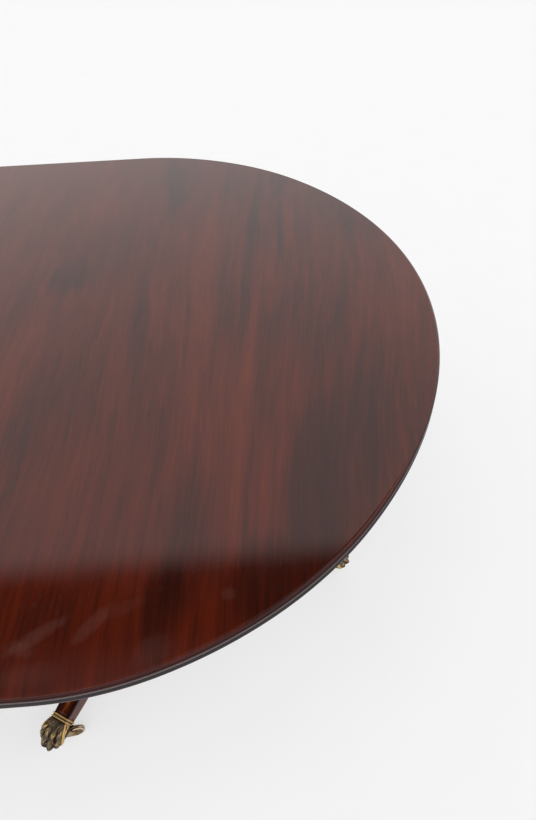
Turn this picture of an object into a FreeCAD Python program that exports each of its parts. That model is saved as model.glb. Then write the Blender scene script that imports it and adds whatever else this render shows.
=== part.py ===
import FreeCAD, Part
import math
import os

# Triple pedestal dining table with two D-shaped ends, a centre section and two loose leaves.
# Frame: origin on the floor under the middle of the table, +X along its length, +Z up, millimetres.
# The east side is +X. The west side is the east side turned half round about Z.

V = FreeCAD.Vector
ORIGIN = V(0, 0, 0)
UP = V(0, 0, 1)

# Overall sizes
TABLE_HEIGHT = 760.0
TABLE_WIDTH = 1120.0
TOP_THICKNESS = 17.5
CENTRE_LENGTH = 915.0
LEAF_LENGTH = 560.0
END_STRAIGHT = 412.0
END_SIDE_RADIUS = 360.0
END_SIDE_TURN = 18.0
END_CORNER_RADIUS = 460.0
END_CORNER_TURN = 30.0
REED_GROOVE = 2.3
JOINT_GAP = 0.3

# Pedestals
END_PEDESTAL_SETBACK = 17.0
FOOT_RADIUS = 357.0
FOOT_HEIGHT = 55.5
LEG_ROOT_RADIUS = 40.0
LEG_ROOT_ANGLE = -18.0
LEG_SLOPE_ANGLE = -58.0
LEG_FOOT_ANGLE = -10.0
LEG_KNEE_RADIUS = 170.0
LEG_ROOT_WIDTH = 48.0
LEG_FOOT_WIDTH = 33.0
LEG_ROOT_DEPTH = 92.0
LEG_FOOT_DEPTH = 30.0
LEG_EDGE_BEAD = 6.5
LEG_CHANNEL_DEPTH = 2.0
LEG_ARRIS = 1.5
LEG_STATIONS = 9
DRUM_RADIUS = 60.0
DRUM_HEIGHT = 116.0
TONGUE_DEPTH = 14.0
TONGUE_NECK = 15.0
TONGUE_FLARE = 3.0
TONGUE_HEIGHT = 66.0
TONGUE_CLEARANCE = 0.15
COPE_CLEARANCE = 0.2

# Turned column, from the drum up
BOSS_RADIUS = 36.0
BOSS_DROP = 14.0
RING_RADIUS = 54.0
RING_HEIGHT = 14.0
COVE_HEIGHT = 22.0
COVE_HOLLOW = 0.2
NECK_RADIUS = 35.0
FILLET_RADIUS = 42.0
FILLET_HEIGHT = 6.0
BELLY_RADIUS = 58.0
BELLY_RISE = 75.0
WAIST_RADIUS = 33.0
TOP_RING_RADIUS = 40.0
TOP_RING_HEIGHT = 11.0
FLARE_HEIGHT = 26.0
CAP_RADIUS = 58.0
CAP_HEIGHT = 10.0
TENON_RADIUS = 26.0
TENON_CLEARANCE = 0.1
TENON_SHORT = 2.0

# Block and bearers under each top
BLOCK_LENGTH = 240.0
BLOCK_WIDTH = 280.0
BLOCK_THICKNESS = 38.0
BLOCK_TOP_GAP = 0.3
BEARER_WIDTH = 45.0
BEARER_LENGTH = 640.0
BEARER_CHAMFER = 14.0

# Fasteners
SCREW_RADIUS = 2.5
SCREW_HEAD_RADIUS = 5.0
SCREW_HEAD_HEIGHT = 3.5
SCREW_BITE = 12.0
SCREW_RECESS = 12.0
SCREW_RECESS_RADIUS = 6.5
SCREW_END_MARGIN = 60.0
SCREWS_PER_BEARER = 4
BOLT_RADIUS = 4.0
BOLT_HEAD_RADIUS = 8.0
BOLT_HEAD_HEIGHT = 5.0
BOLT_BITE = 50.0
BOLT_SPACING = 130.0
HOLE_CLEARANCE = 0.05

# Leaf pegs
PEG_RADIUS = 4.5
PEG_HOLD = 28.0
PEG_REACH = 22.0
PEG_SOCKET_CLEARANCE = 0.2
PEG_SOCKET_SPARE = 2.0
PEG_EDGE_MARGIN = 110.0

# Brass clips that lock each joint, drawn back at rest
CLIP_ROD_RADIUS = 4.0
CLIP_HALF_SPACING = 30.0
CLIP_DROP = 11.0
CLIP_EDGE_MARGIN = 230.0
CLIP_TIP_SHOW = 6.0
CLIP_TRAVEL = 44.0
CLIP_STOP_SPARE = 6.0
KEEPER_LENGTH = 30.0
KEEPER_GAP = 4.0
KEEPER_WIDTH = 18.0
KEEPER_WALL = 4.0
KEEPER_FLANGE = 50.0
KEEPER_FLANGE_THICKNESS = 3.0
KEEPER_BORE_CLEARANCE = 0.3
KEEPER_SCREW_RADIUS = 1.75
KEEPER_SCREW_HEAD_RADIUS = 3.5
KEEPER_SCREW_HEAD_HEIGHT = 1.6
KEEPER_SCREW_BITE = 10.0
KEEPER_SCREW_SPACING = 37.0

# Brass paw caps
CAP_WALL = 3.0
CAP_CLEARANCE = 0.1
SLEEVE_LENGTH = 7.0
LEG_TENON_LENGTH = 15.0
COLLAR_BEAD_WIDTH = 3.0
COLLAR_BEAD_PROUD = 1.1
COLLAR_BEAD_PITCH = 5.2
COLLAR_BEAD_ROUND = 1.2
SOLE_HEIGHT = 39.0
PAW_BACK = 4.0
PAW_WRIST_REACH = 10.0
PAW_WRIST_INSET = 0.8
PAW_WRIST_DROP = 2.8
PAW_WRIST_BEVEL = 2.0
PAW_BROW_REACH = 27.0
PAW_BROW_RISE = 8.5
PAW_BROW_HALF_WIDTH = 20.5
PAW_BROW_BEVEL = 5.0
PAW_FRONT_REACH = 43.0
PAW_FRONT_RISE = 12.0
PAW_FRONT_HALF_WIDTH = 21.5
PAW_FRONT_BEVEL = 6.0
TOE_ROOT_REACH = 22.0
TOE_ROOT_RISE = 7.0
TOE_PITCH = 32.0
TOE_LENGTH = 36.0
TOE_ROOT_RADIUS = 4.0
TOE_KNUCKLE_RADIUS = 6.8
TOE_KNUCKLE_AT = 11.0
TOE_WAIST_RADIUS = 5.6
TOE_WAIST_AT = 21.0
TOE_PAD_RADIUS = 6.4
TOE_PAD_AT = 29.0
TOE_TIP_RADIUS = 3.4
TOE_SPREADS = (-13.0, -5.3, 5.3, 13.0)
TOE_FAN = 0.92
TOE_OUTER_SETBACK = 12.0
CLAW_RADIUS = 2.4
CLAW_TIP_RADIUS = 0.7
CLAW_LENGTH = 7.0

# Castors
WHEEL_RADIUS = 15.0
WHEEL_WIDTH = 9.0
WHEEL_ROUND = 3.0
HUB_RADIUS = 6.5
HUB_WIDTH = 9.8
CASTOR_TRAIL = 27.0
CASTOR_TRAIL_TURN = 135.0
SWIVEL_REACH = 21.0
SWIVEL_GAP = 0.3
SWIVEL_PIN_RADIUS = 4.0
SWIVEL_PIN_LENGTH = 6.5
SWIVEL_PIN_SPARE = 0.5
RUNNING_CLEARANCE = 0.05
HORN_BOSS_RADIUS = 9.0
HORN_BOSS_LOW = 22.0
HORN_BACK = 8.0
HORN_CHEEK = 2.4
HORN_SIDE_GAP = 0.5
HORN_BRIDGE_HEIGHT = 4.5
HORN_EYE_RADIUS = 5.5
AXLE_RADIUS = 2.5
AXLE_HEAD_RADIUS = 3.6
AXLE_HEAD_HEIGHT = 0.8

# Places that follow from the sizes above
HALF_WIDTH = TABLE_WIDTH / 2
UNDERSIDE = TABLE_HEIGHT - TOP_THICKNESS
REED_RADIUS = TOP_THICKNESS / 4
LEAF_START = CENTRE_LENGTH / 2 + JOINT_GAP
LEAF_END = LEAF_START + LEAF_LENGTH
END_START = LEAF_END + JOINT_GAP
CURVE_START = END_START + END_STRAIGHT
END_PEDESTAL_X = CURVE_START - END_PEDESTAL_SETBACK
SHOULDER_Z = UNDERSIDE - BLOCK_TOP_GAP - BLOCK_THICKNESS
PEG_Z = TABLE_HEIGHT - TOP_THICKNESS / 2
CLIP_TIP_Y = HALF_WIDTH - CLIP_EDGE_MARGIN
SWIVEL_RADIUS = FOOT_RADIUS + SWIVEL_REACH
CLIP_Z = UNDERSIDE - CLIP_DROP
CLIP_PRONG = CLIP_TIP_SHOW + KEEPER_LENGTH + CLIP_TRAVEL + CLIP_STOP_SPARE
HORN_TOP = SOLE_HEIGHT - SWIVEL_GAP
END_LEG_ANGLES = (0.0, 120.0, 240.0)
CENTRE_LEG_ANGLES = (45.0, 135.0, 225.0, 315.0)


def turned(shape, degrees, centre=ORIGIN):
    """A copy of shape turned about the vertical through centre."""
    copy = shape.copy()
    copy.rotate(centre, UP, degrees)
    return copy


def moved(shape, x=0.0, y=0.0, z=0.0):
    """A copy of shape moved by x, y and z."""
    copy = shape.copy()
    copy.translate(V(x, y, z))
    return copy


def fused(shapes):
    """One solid from overlapping or touching shapes, with coplanar faces joined."""
    shapes = list(shapes)
    return shapes[0].multiFuse(shapes[1:]).removeSplitter()


def box(low, high):
    """An upright box between two corners."""
    size = high - low
    return Part.makeBox(size.x, size.y, size.z, low)


def face_in_xz(edges):
    """A flat face in the XZ plane from edges in order."""
    return Part.Face(Part.Wire(edges))


def line(start, end):
    """A straight edge between two (x, z) points."""
    return Part.LineSegment(V(start[0], 0, start[1]), V(end[0], 0, end[1])).toShape()


def arc(start, middle, end):
    """A circular edge through three (x, z) points."""
    points = [V(p[0], 0, p[1]) for p in (start, middle, end)]
    return Part.Arc(*points).toShape()


def polar(centre, radius, degrees):
    """The (x, z) point at an angle on a circle."""
    angle = math.radians(degrees)
    return (centre[0] + radius * math.cos(angle), centre[1] + radius * math.sin(angle))


def polygon(points):
    """Straight edges through (x, z) points, closed."""
    return [line(a, b) for a, b in zip(points, points[1:] + points[:1])]


# Tops and leaves

def top_section(reach):
    """Half section of a top, from its middle to an edge of two reeds, reach away."""
    lower = (reach - REED_RADIUS, UNDERSIDE + REED_RADIUS)
    upper = (lower[0], TABLE_HEIGHT - REED_RADIUS)
    meet = math.degrees(math.acos((REED_RADIUS - REED_GROOVE) / REED_RADIUS))
    bottom, top = polar(lower, REED_RADIUS, -90), polar(upper, REED_RADIUS, 90)
    groove_low, groove_high = polar(lower, REED_RADIUS, meet), polar(upper, REED_RADIUS, -meet)
    edges = [
        line((0, UNDERSIDE), bottom),
        arc(bottom, polar(lower, REED_RADIUS, (meet - 90) / 2), groove_low),
        line(groove_low, groove_high),
        arc(groove_high, polar(upper, REED_RADIUS, (90 - meet) / 2), top),
        line(top, (0, TABLE_HEIGHT)),
        line((0, TABLE_HEIGHT), (0, UNDERSIDE)),
    ]
    return face_in_xz(edges)


def straight_top(start, length):
    """A top board with reeded edges on its two long sides, from x = start."""
    half = turned(top_section(HALF_WIDTH), 90).extrude(V(length, 0, 0))
    board = fused([half, half.mirror(ORIGIN, V(0, 1, 0))])
    return moved(board, x=start)


def top_sector(apex_x, apex_y, reach, start_angle, end_angle):
    """A pie slice of a top with a reeded rim."""
    section = turned(top_section(reach), start_angle)
    slice_ = section.revolve(ORIGIN, UP, end_angle - start_angle)
    return moved(slice_, apex_x, apex_y)


def end_top_board():
    """The east D-end: a straight part, then side, corner and end arcs, each tangent to the next."""
    side_turn = math.radians(END_SIDE_TURN)
    full_turn = math.radians(END_SIDE_TURN + END_CORNER_TURN)
    growth = END_CORNER_RADIUS - END_SIDE_RADIUS
    side_y = HALF_WIDTH - END_SIDE_RADIUS
    corner_x = -growth * math.sin(side_turn)
    corner_y = side_y - growth * math.cos(side_turn)
    to_axis = corner_y / math.cos(full_turn)
    end_x = corner_x - to_axis * math.sin(full_turn)
    side_angle, end_angle = 90 - END_SIDE_TURN, 90 - END_SIDE_TURN - END_CORNER_TURN
    slices = [
        top_sector(CURVE_START, side_y, END_SIDE_RADIUS, side_angle, 90),
        top_sector(CURVE_START + corner_x, corner_y, END_CORNER_RADIUS, end_angle, side_angle),
    ]
    mirrored = [slice_.mirror(ORIGIN, V(0, 1, 0)) for slice_ in slices]
    end = top_sector(CURVE_START + end_x, 0, END_CORNER_RADIUS + to_axis, -end_angle, end_angle)
    board = fused([straight_top(END_START, END_STRAIGHT), end] + slices + mirrored)
    beyond_joint = box(
        V(END_START - TABLE_WIDTH, -TABLE_WIDTH, UNDERSIDE - TOP_THICKNESS),
        V(END_START, TABLE_WIDTH, TABLE_HEIGHT + TOP_THICKNESS),
    )
    return board.cut(beyond_joint)


def peg_rows():
    """The y places of the pegs along one joint."""
    outer = HALF_WIDTH - PEG_EDGE_MARGIN
    return (-outer, 0.0, outer)


def rod_along_x(x, y, z, length, radius):
    """A round bar along +X from a point."""
    return Part.makeCylinder(radius, length, V(x, y, z), V(1, 0, 0))


def peg_sockets(joint_x, direction):
    """Blind holes for the pegs, from a joint face into a top."""
    depth = PEG_REACH + PEG_SOCKET_SPARE
    start = joint_x if direction > 0 else joint_x - depth
    radius = PEG_RADIUS + PEG_SOCKET_CLEARANCE
    return [rod_along_x(start, y, PEG_Z, depth, radius) for y in peg_rows()]


def leaf_pegs():
    """Wooden pegs standing out of both long edges of the east leaf."""
    length = PEG_HOLD + PEG_REACH
    starts = (LEAF_START - PEG_REACH, LEAF_END - PEG_HOLD)
    return [rod_along_x(x, y, PEG_Z, length, PEG_RADIUS) for x in starts for y in peg_rows()]


# Clips and keepers

def clip_joints():
    """For each joint of the east leaf: its x on the leaf's edge and the way to the leaf's middle."""
    return {"inner": (LEAF_START, 1), "outer": (LEAF_END, -1)}


def clip(joint_x, side):
    """A U-shaped brass clip, drawn back, at one joint on one side of the table (side is 1 or -1)."""
    bow_y = side * (CLIP_TIP_Y + CLIP_PRONG)
    prongs = [
        Part.makeCylinder(
            CLIP_ROD_RADIUS, CLIP_PRONG, V(joint_x + offset, side * CLIP_TIP_Y, CLIP_Z), V(0, side, 0)
        )
        for offset in (-CLIP_HALF_SPACING, CLIP_HALF_SPACING)
    ]
    ring = Part.makeTorus(CLIP_HALF_SPACING, CLIP_ROD_RADIUS, V(joint_x, bow_y, CLIP_Z), UP)
    reach = CLIP_HALF_SPACING + 2 * CLIP_ROD_RADIUS
    near, far = sorted((bow_y, bow_y + side * reach))
    half = box(
        V(joint_x - reach, near, CLIP_Z - 2 * CLIP_ROD_RADIUS),
        V(joint_x + reach, far, CLIP_Z + 2 * CLIP_ROD_RADIUS),
    )
    return fused(prongs + [ring.common(half)])


def keeper(x, near_y, side):
    """A brass saddle under a top that a clip's prong slides through, from near_y outwards."""
    low_y, high_y = sorted((side * near_y, side * (near_y + KEEPER_LENGTH)))
    drop = CLIP_DROP + CLIP_ROD_RADIUS + KEEPER_WALL
    saddle = box(
        V(x - KEEPER_WIDTH / 2, low_y, UNDERSIDE - drop), V(x + KEEPER_WIDTH / 2, high_y, UNDERSIDE)
    )
    flange = box(
        V(x - KEEPER_FLANGE / 2, low_y, UNDERSIDE - KEEPER_FLANGE_THICKNESS),
        V(x + KEEPER_FLANGE / 2, high_y, UNDERSIDE),
    )
    bore = Part.makeCylinder(
        CLIP_ROD_RADIUS + KEEPER_BORE_CLEARANCE, KEEPER_LENGTH, V(x, low_y, CLIP_Z), V(0, 1, 0)
    )
    return drilled(fused([saddle, flange]), [bore] + keeper_screws(x, near_y, side, HOLE_CLEARANCE))


def keeper_screws(x, near_y, side, extra=0.0):
    """The two wood screws of a keeper, or the holes for them when extra is a clearance."""
    y = side * (near_y + KEEPER_LENGTH / 2)
    shanks = []
    for offset in (-KEEPER_SCREW_SPACING / 2, KEEPER_SCREW_SPACING / 2):
        foot = V(x + offset, y, UNDERSIDE - KEEPER_FLANGE_THICKNESS - KEEPER_SCREW_HEAD_HEIGHT)
        length = KEEPER_SCREW_HEAD_HEIGHT + KEEPER_FLANGE_THICKNESS + KEEPER_SCREW_BITE + extra
        shank = Part.makeCylinder(KEEPER_SCREW_RADIUS + extra, length, foot)
        if extra:
            shanks.append(shank)
            continue
        head = Part.makeCylinder(KEEPER_SCREW_HEAD_RADIUS, KEEPER_SCREW_HEAD_HEIGHT, foot)
        shanks.append(fused([head, shank]))
    return shanks


def guide_y():
    """How far from the middle a clip's guide on the leaf starts."""
    return CLIP_TIP_Y + CLIP_TIP_SHOW


def catch_y():
    """How far from the middle the keeper that a clip locks into starts."""
    return CLIP_TIP_Y - KEEPER_GAP - KEEPER_LENGTH


def leaf_keeper_places():
    """(x, near y, side) of the four guides under the east leaf."""
    return [
        (joint_x + way * CLIP_HALF_SPACING, guide_y(), side)
        for joint_x, way in clip_joints().values()
        for side in (1, -1)
    ]


def catch_places(joint_name):
    """(x, near y, side) of the two keepers under the top across one joint of the east leaf."""
    joint_x, way = clip_joints()[joint_name]
    return [(joint_x - way * CLIP_HALF_SPACING, catch_y(), side) for side in (1, -1)]


# Block, bearers and their fasteners

def block():
    """The square block that carries a top, bored for the column's tenon."""
    body = box(
        V(-BLOCK_LENGTH / 2, -BLOCK_WIDTH / 2, SHOULDER_Z),
        V(BLOCK_LENGTH / 2, BLOCK_WIDTH / 2, SHOULDER_Z + BLOCK_THICKNESS),
    )
    bore = Part.makeCylinder(TENON_RADIUS + TENON_CLEARANCE, BLOCK_THICKNESS, V(0, 0, SHOULDER_Z))
    body = body.cut(bore)
    for hole in block_bolts(HOLE_CLEARANCE):
        body = body.cut(hole)
    return body


def bearers():
    """Two bearers along the table, one each side of the block, with bevelled ends."""
    bottom = UNDERSIDE - BLOCK_THICKNESS
    half = BEARER_LENGTH / 2
    outline = polygon([
        (-half, UNDERSIDE),
        (-half, bottom + BEARER_CHAMFER),
        (-half + BEARER_CHAMFER, bottom),
        (half - BEARER_CHAMFER, bottom),
        (half, bottom + BEARER_CHAMFER),
        (half, UNDERSIDE),
    ])
    bar = face_in_xz(outline).extrude(V(0, BEARER_WIDTH, 0))
    bars = [moved(bar, y=BLOCK_WIDTH / 2), moved(bar, y=-BLOCK_WIDTH / 2 - BEARER_WIDTH)]
    holes = bearer_screws(HOLE_CLEARANCE) + block_bolts(HOLE_CLEARANCE)
    return [drilled(bar, holes) for bar in bars]


def drilled(shape, holes):
    """shape less each hole."""
    for hole in holes:
        shape = shape.cut(hole)
    return shape


def bearer_screw_places():
    """(x, y) of the screws through both bearers."""
    span = BEARER_LENGTH - 2 * SCREW_END_MARGIN
    step = span / (SCREWS_PER_BEARER - 1)
    middle = BLOCK_WIDTH / 2 + BEARER_WIDTH / 2
    return [(i * step - span / 2, y) for y in (-middle, middle) for i in range(SCREWS_PER_BEARER)]


def bearer_screws(extra=0.0):
    """Screws up through the bearers into the top, or their holes when extra is a clearance."""
    bottom = UNDERSIDE - BLOCK_THICKNESS
    seat = bottom + SCREW_RECESS
    made = []
    for x, y in bearer_screw_places():
        shank = Part.makeCylinder(SCREW_RADIUS + extra, UNDERSIDE + SCREW_BITE + extra - seat, V(x, y, seat))
        if extra:
            head = Part.makeCylinder(SCREW_RECESS_RADIUS, SCREW_RECESS, V(x, y, bottom))
        else:
            head = Part.makeCylinder(SCREW_HEAD_RADIUS, SCREW_HEAD_HEIGHT, V(x, y, seat - SCREW_HEAD_HEIGHT))
        made.append(fused([shank, head]))
    return made


def block_bolts(extra=0.0):
    """Coach bolts through the bearers into the block, or their holes when extra is a clearance."""
    z = SHOULDER_Z + BLOCK_THICKNESS / 2
    outside = BLOCK_WIDTH / 2 + BEARER_WIDTH
    made = []
    for side in (-1, 1):
        for x in (-BOLT_SPACING / 2, BOLT_SPACING / 2):
            start = V(x, side * outside, z)
            inward = V(0, -side, 0)
            shank = Part.makeCylinder(BOLT_RADIUS + extra, BEARER_WIDTH + BOLT_BITE + extra, start, inward)
            if extra:
                made.append(shank)
                continue
            head = Part.makeCylinder(BOLT_HEAD_RADIUS, BOLT_HEAD_HEIGHT, start, V(0, side, 0))
            made.append(fused([shank, head]))
    return made


# Legs and columns

def leg_path():
    """The two radii and lengths of the leg's centreline, and the height of its root."""
    root, slope, foot = (math.radians(a) for a in (LEG_ROOT_ANGLE, LEG_SLOPE_ANGLE, LEG_FOOT_ANGLE))
    knee_run = LEG_KNEE_RADIUS * (math.sin(root) - math.sin(slope))
    knee_drop = LEG_KNEE_RADIUS * (math.cos(root) - math.cos(slope))
    sweep_radius = (FOOT_RADIUS - LEG_ROOT_RADIUS - knee_run) / (math.sin(foot) - math.sin(slope))
    sweep_drop = sweep_radius * (math.cos(foot) - math.cos(slope))
    knee_length = LEG_KNEE_RADIUS * (root - slope)
    sweep_length = sweep_radius * (foot - slope)
    return sweep_radius, knee_length, sweep_length, FOOT_HEIGHT + sweep_drop + knee_drop


def leg_station(share):
    """The (x, z) point and heading of the leg's centreline at a share of its length."""
    sweep_radius, knee_length, sweep_length, root_z = leg_path()
    root, slope = math.radians(LEG_ROOT_ANGLE), math.radians(LEG_SLOPE_ANGLE)
    along = share * (knee_length + sweep_length)
    knee = min(along, knee_length)
    heading = root - knee / LEG_KNEE_RADIUS
    x = LEG_ROOT_RADIUS + LEG_KNEE_RADIUS * (math.sin(root) - math.sin(heading))
    z = root_z + LEG_KNEE_RADIUS * (math.cos(heading) - math.cos(root))
    if along > knee_length:
        heading = slope + (along - knee_length) / sweep_radius
        x += sweep_radius * (math.sin(heading) - math.sin(slope))
        z -= sweep_radius * (math.cos(heading) - math.cos(slope))
    return x, z, heading


def leg_section(share):
    """A closed section of the leg: a rectangle with a sunk channel along its upper face."""
    x, z, heading = leg_station(share)
    half_width = (LEG_ROOT_WIDTH + share * (LEG_FOOT_WIDTH - LEG_ROOT_WIDTH)) / 2
    half_depth = (LEG_ROOT_DEPTH + share * (LEG_FOOT_DEPTH - LEG_ROOT_DEPTH)) / 2
    bead = half_width - LEG_EDGE_BEAD
    channel = half_depth - LEG_CHANNEL_DEPTH
    right = [
        (half_width - LEG_ARRIS, -half_depth),
        (half_width, LEG_ARRIS - half_depth),
        (half_width, half_depth - LEG_ARRIS),
        (half_width - LEG_ARRIS, half_depth),
        (bead + LEG_ARRIS, half_depth),
        (bead, channel),
    ]
    outline = right + [(-across, rise) for across, rise in reversed(right)]
    normal_x, normal_z = -math.sin(heading), math.cos(heading)
    points = [V(x + rise * normal_x, across, z + rise * normal_z) for across, rise in outline]
    return Part.makePolygon(points + points[:1])


def tongue(extra=0.0, down_to=None):
    """The dovetail tongue at a leg's root, or its slot in the drum when extra is a clearance."""
    root_z = leg_path()[3]
    inner, outer = DRUM_RADIUS - TONGUE_DEPTH - extra, DRUM_RADIUS + TONGUE_NECK / 2
    neck, flare = TONGUE_NECK / 2 + extra, TONGUE_NECK / 2 + TONGUE_FLARE + extra
    low = root_z - TONGUE_HEIGHT / 2 if down_to is None else down_to
    high = root_z + TONGUE_HEIGHT / 2 + extra
    corners = [(inner, -flare), (DRUM_RADIUS, -neck), (outer, -neck), (outer, neck), (DRUM_RADIUS, neck)]
    corners.append((inner, flare))
    points = [V(x, y, low) for x, y in corners]
    return Part.Face(Part.makePolygon(points + points[:1])).extrude(V(0, 0, high - low))


def along_leg_end(shape):
    """Puts a shape made along +X at the origin onto the end of the leg, along its heading."""
    copy = shape.copy()
    copy.rotate(ORIGIN, V(0, 1, 0), -LEG_FOOT_ANGLE)
    return moved(copy, FOOT_RADIUS, 0, FOOT_HEIGHT)


def bar_along_leg(start, length, half_width, half_depth):
    """A square bar on the leg's end, from start along its heading."""
    return box(V(start, -half_width, -half_depth), V(start + length, half_width, half_depth))


def tenon_half_sizes():
    """Half the width and depth of the leg's tenon, inside the walls of the paw cap."""
    inside = CAP_WALL + CAP_CLEARANCE
    return LEG_FOOT_WIDTH / 2 - inside, LEG_FOOT_DEPTH / 2 - inside


def leg():
    """One sabre leg pointing along +X, with its dovetail tongue and the tenon in the paw cap."""
    sections = [leg_section(i / (LEG_STATIONS - 1)) for i in range(LEG_STATIONS)]
    swept = Part.makeLoft(sections, True)
    root_z = leg_path()[3]
    drum = Part.makeCylinder(DRUM_RADIUS + COPE_CLEARANCE, 4 * DRUM_HEIGHT, V(0, 0, root_z - 2 * DRUM_HEIGHT))
    tenon = along_leg_end(bar_along_leg(-CAP_WALL, LEG_TENON_LENGTH + CAP_WALL, *tenon_half_sizes()))
    return fused([swept.cut(drum), tongue(), tenon])


def column(leg_angles):
    """The turned column, with a slot in its drum for each leg and a tenon for the block."""
    root_z = leg_path()[3]
    drum_low, drum_high = root_z - DRUM_HEIGHT / 2, root_z + DRUM_HEIGHT / 2
    ring_top = drum_high + RING_HEIGHT
    cove_top = ring_top + COVE_HEIGHT
    vase_low = cove_top + FILLET_HEIGHT
    cap_low = SHOULDER_Z - CAP_HEIGHT
    flare_low = cap_low - FLARE_HEIGHT
    vase_high = flare_low - 2 * TOP_RING_HEIGHT
    waist_z = (vase_low + BELLY_RISE + vase_high) / 2
    waist_radius = (BELLY_RADIUS + WAIST_RADIUS) / 2
    vase = Part.BSplineCurve()
    vase.interpolate([
        V(NECK_RADIUS, 0, vase_low),
        V(BELLY_RADIUS, 0, vase_low + BELLY_RISE),
        V(waist_radius, 0, waist_z),
        V(WAIST_RADIUS, 0, vase_high),
    ])
    tenon_top = SHOULDER_Z + BLOCK_THICKNESS - TENON_SHORT
    edges = [
        line((0, drum_low - BOSS_DROP), (BOSS_RADIUS - BOSS_DROP, drum_low - BOSS_DROP)),
        arc(
            (BOSS_RADIUS - BOSS_DROP, drum_low - BOSS_DROP),
            polar((BOSS_RADIUS - BOSS_DROP, drum_low), BOSS_DROP, -45),
            (BOSS_RADIUS, drum_low),
        ),
        line((BOSS_RADIUS, drum_low), (DRUM_RADIUS, drum_low)),
        line((DRUM_RADIUS, drum_low), (DRUM_RADIUS, drum_high)),
        line((DRUM_RADIUS, drum_high), (RING_RADIUS, drum_high)),
        arc(
            (RING_RADIUS, drum_high),
            (RING_RADIUS + RING_HEIGHT / 2, drum_high + RING_HEIGHT / 2),
            (RING_RADIUS, ring_top),
        ),
        cove((RING_RADIUS, ring_top), (NECK_RADIUS, cove_top)),
        line((NECK_RADIUS, cove_top), (FILLET_RADIUS, cove_top)),
        line((FILLET_RADIUS, cove_top), (FILLET_RADIUS, vase_low)),
        line((FILLET_RADIUS, vase_low), (NECK_RADIUS, vase_low)),
        vase.toShape(),
        *top_rings(vase_high),
        cove((WAIST_RADIUS, flare_low), (CAP_RADIUS, cap_low)),
        line((CAP_RADIUS, cap_low), (CAP_RADIUS, SHOULDER_Z)),
        line((CAP_RADIUS, SHOULDER_Z), (TENON_RADIUS, SHOULDER_Z)),
        line((TENON_RADIUS, SHOULDER_Z), (TENON_RADIUS, tenon_top)),
        line((TENON_RADIUS, tenon_top), (0, tenon_top)),
        line((0, tenon_top), (0, drum_low - BOSS_DROP)),
    ]
    body = face_in_xz(edges).revolve(ORIGIN, UP, 360)
    slot = tongue(TONGUE_CLEARANCE, drum_low - BOSS_DROP)
    return drilled(body, [turned(slot, angle) for angle in leg_angles])


def cove(start, end):
    """A hollow quarter arc between a wide and a narrow radius."""
    wide_first = start[0] > end[0]
    corner = (end[0], start[1]) if wide_first else (start[0], end[1])
    middle = tuple((s + e) / 2 + COVE_HOLLOW * (c - (s + e) / 2) for s, e, c in zip(start, end, corner))
    return arc(start, middle, end)


def top_rings(low):
    """Two half-round rings at the top of the vase, starting and ending at its neck."""
    high = low + 2 * TOP_RING_HEIGHT
    edges = [line((WAIST_RADIUS, low), (TOP_RING_RADIUS, low))]
    for start in (low, low + TOP_RING_HEIGHT):
        end = start + TOP_RING_HEIGHT
        bulge = (TOP_RING_RADIUS + TOP_RING_HEIGHT / 2, (start + end) / 2)
        edges.append(arc((TOP_RING_RADIUS, start), bulge, (TOP_RING_RADIUS, end)))
    edges.append(line((TOP_RING_RADIUS, high), (WAIST_RADIUS, high)))
    return edges


# Paw caps

def rounded_bar(start, length, half_width, half_depth, radius):
    """A square bar along +X with all its edges rounded."""
    bar = bar_along_leg(start, length, half_width, half_depth)
    return bar.makeFillet(radius, bar.Edges)


def paw_section(reach, half_width, rise, bevel):
    """An upright section of the paw, reach in front of the leg's end, with its two top corners bevelled."""
    x, top = FOOT_RADIUS + reach, FOOT_HEIGHT + rise
    right = [(half_width, SOLE_HEIGHT), (half_width, top - bevel), (half_width - bevel, top)]
    outline = right + [(-y, z) for y, z in reversed(right)]
    points = [V(x, y, z) for y, z in outline]
    return Part.makePolygon(points + points[:1])


def toe(spread):
    """One toe with its claw, reaching forwards and down from the brow of the paw."""
    back = Part.BSplineCurve()
    back.interpolate([
        V(0, 0, TOE_ROOT_RADIUS),
        V(TOE_KNUCKLE_AT, 0, TOE_KNUCKLE_RADIUS),
        V(TOE_WAIST_AT, 0, TOE_WAIST_RADIUS),
        V(TOE_PAD_AT, 0, TOE_PAD_RADIUS),
        V(TOE_LENGTH, 0, TOE_TIP_RADIUS),
    ])
    claw_end = TOE_LENGTH + CLAW_LENGTH
    edges = [
        line((0, 0), (0, TOE_ROOT_RADIUS)),
        back.toShape(),
        line((TOE_LENGTH, TOE_TIP_RADIUS), (TOE_LENGTH, CLAW_RADIUS)),
        line((TOE_LENGTH, CLAW_RADIUS), (claw_end, CLAW_TIP_RADIUS)),
        line((claw_end, CLAW_TIP_RADIUS), (claw_end, 0)),
        line((claw_end, 0), (0, 0)),
    ]
    body = face_in_xz(edges).revolve(ORIGIN, V(1, 0, 0), 360)
    body.rotate(ORIGIN, V(0, 1, 0), TOE_PITCH)
    body.rotate(ORIGIN, UP, spread * TOE_FAN)
    setback = TOE_OUTER_SETBACK * (spread / max(TOE_SPREADS)) ** 2
    return moved(body, FOOT_RADIUS + TOE_ROOT_REACH - setback, spread, FOOT_HEIGHT + TOE_ROOT_RISE)


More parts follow.
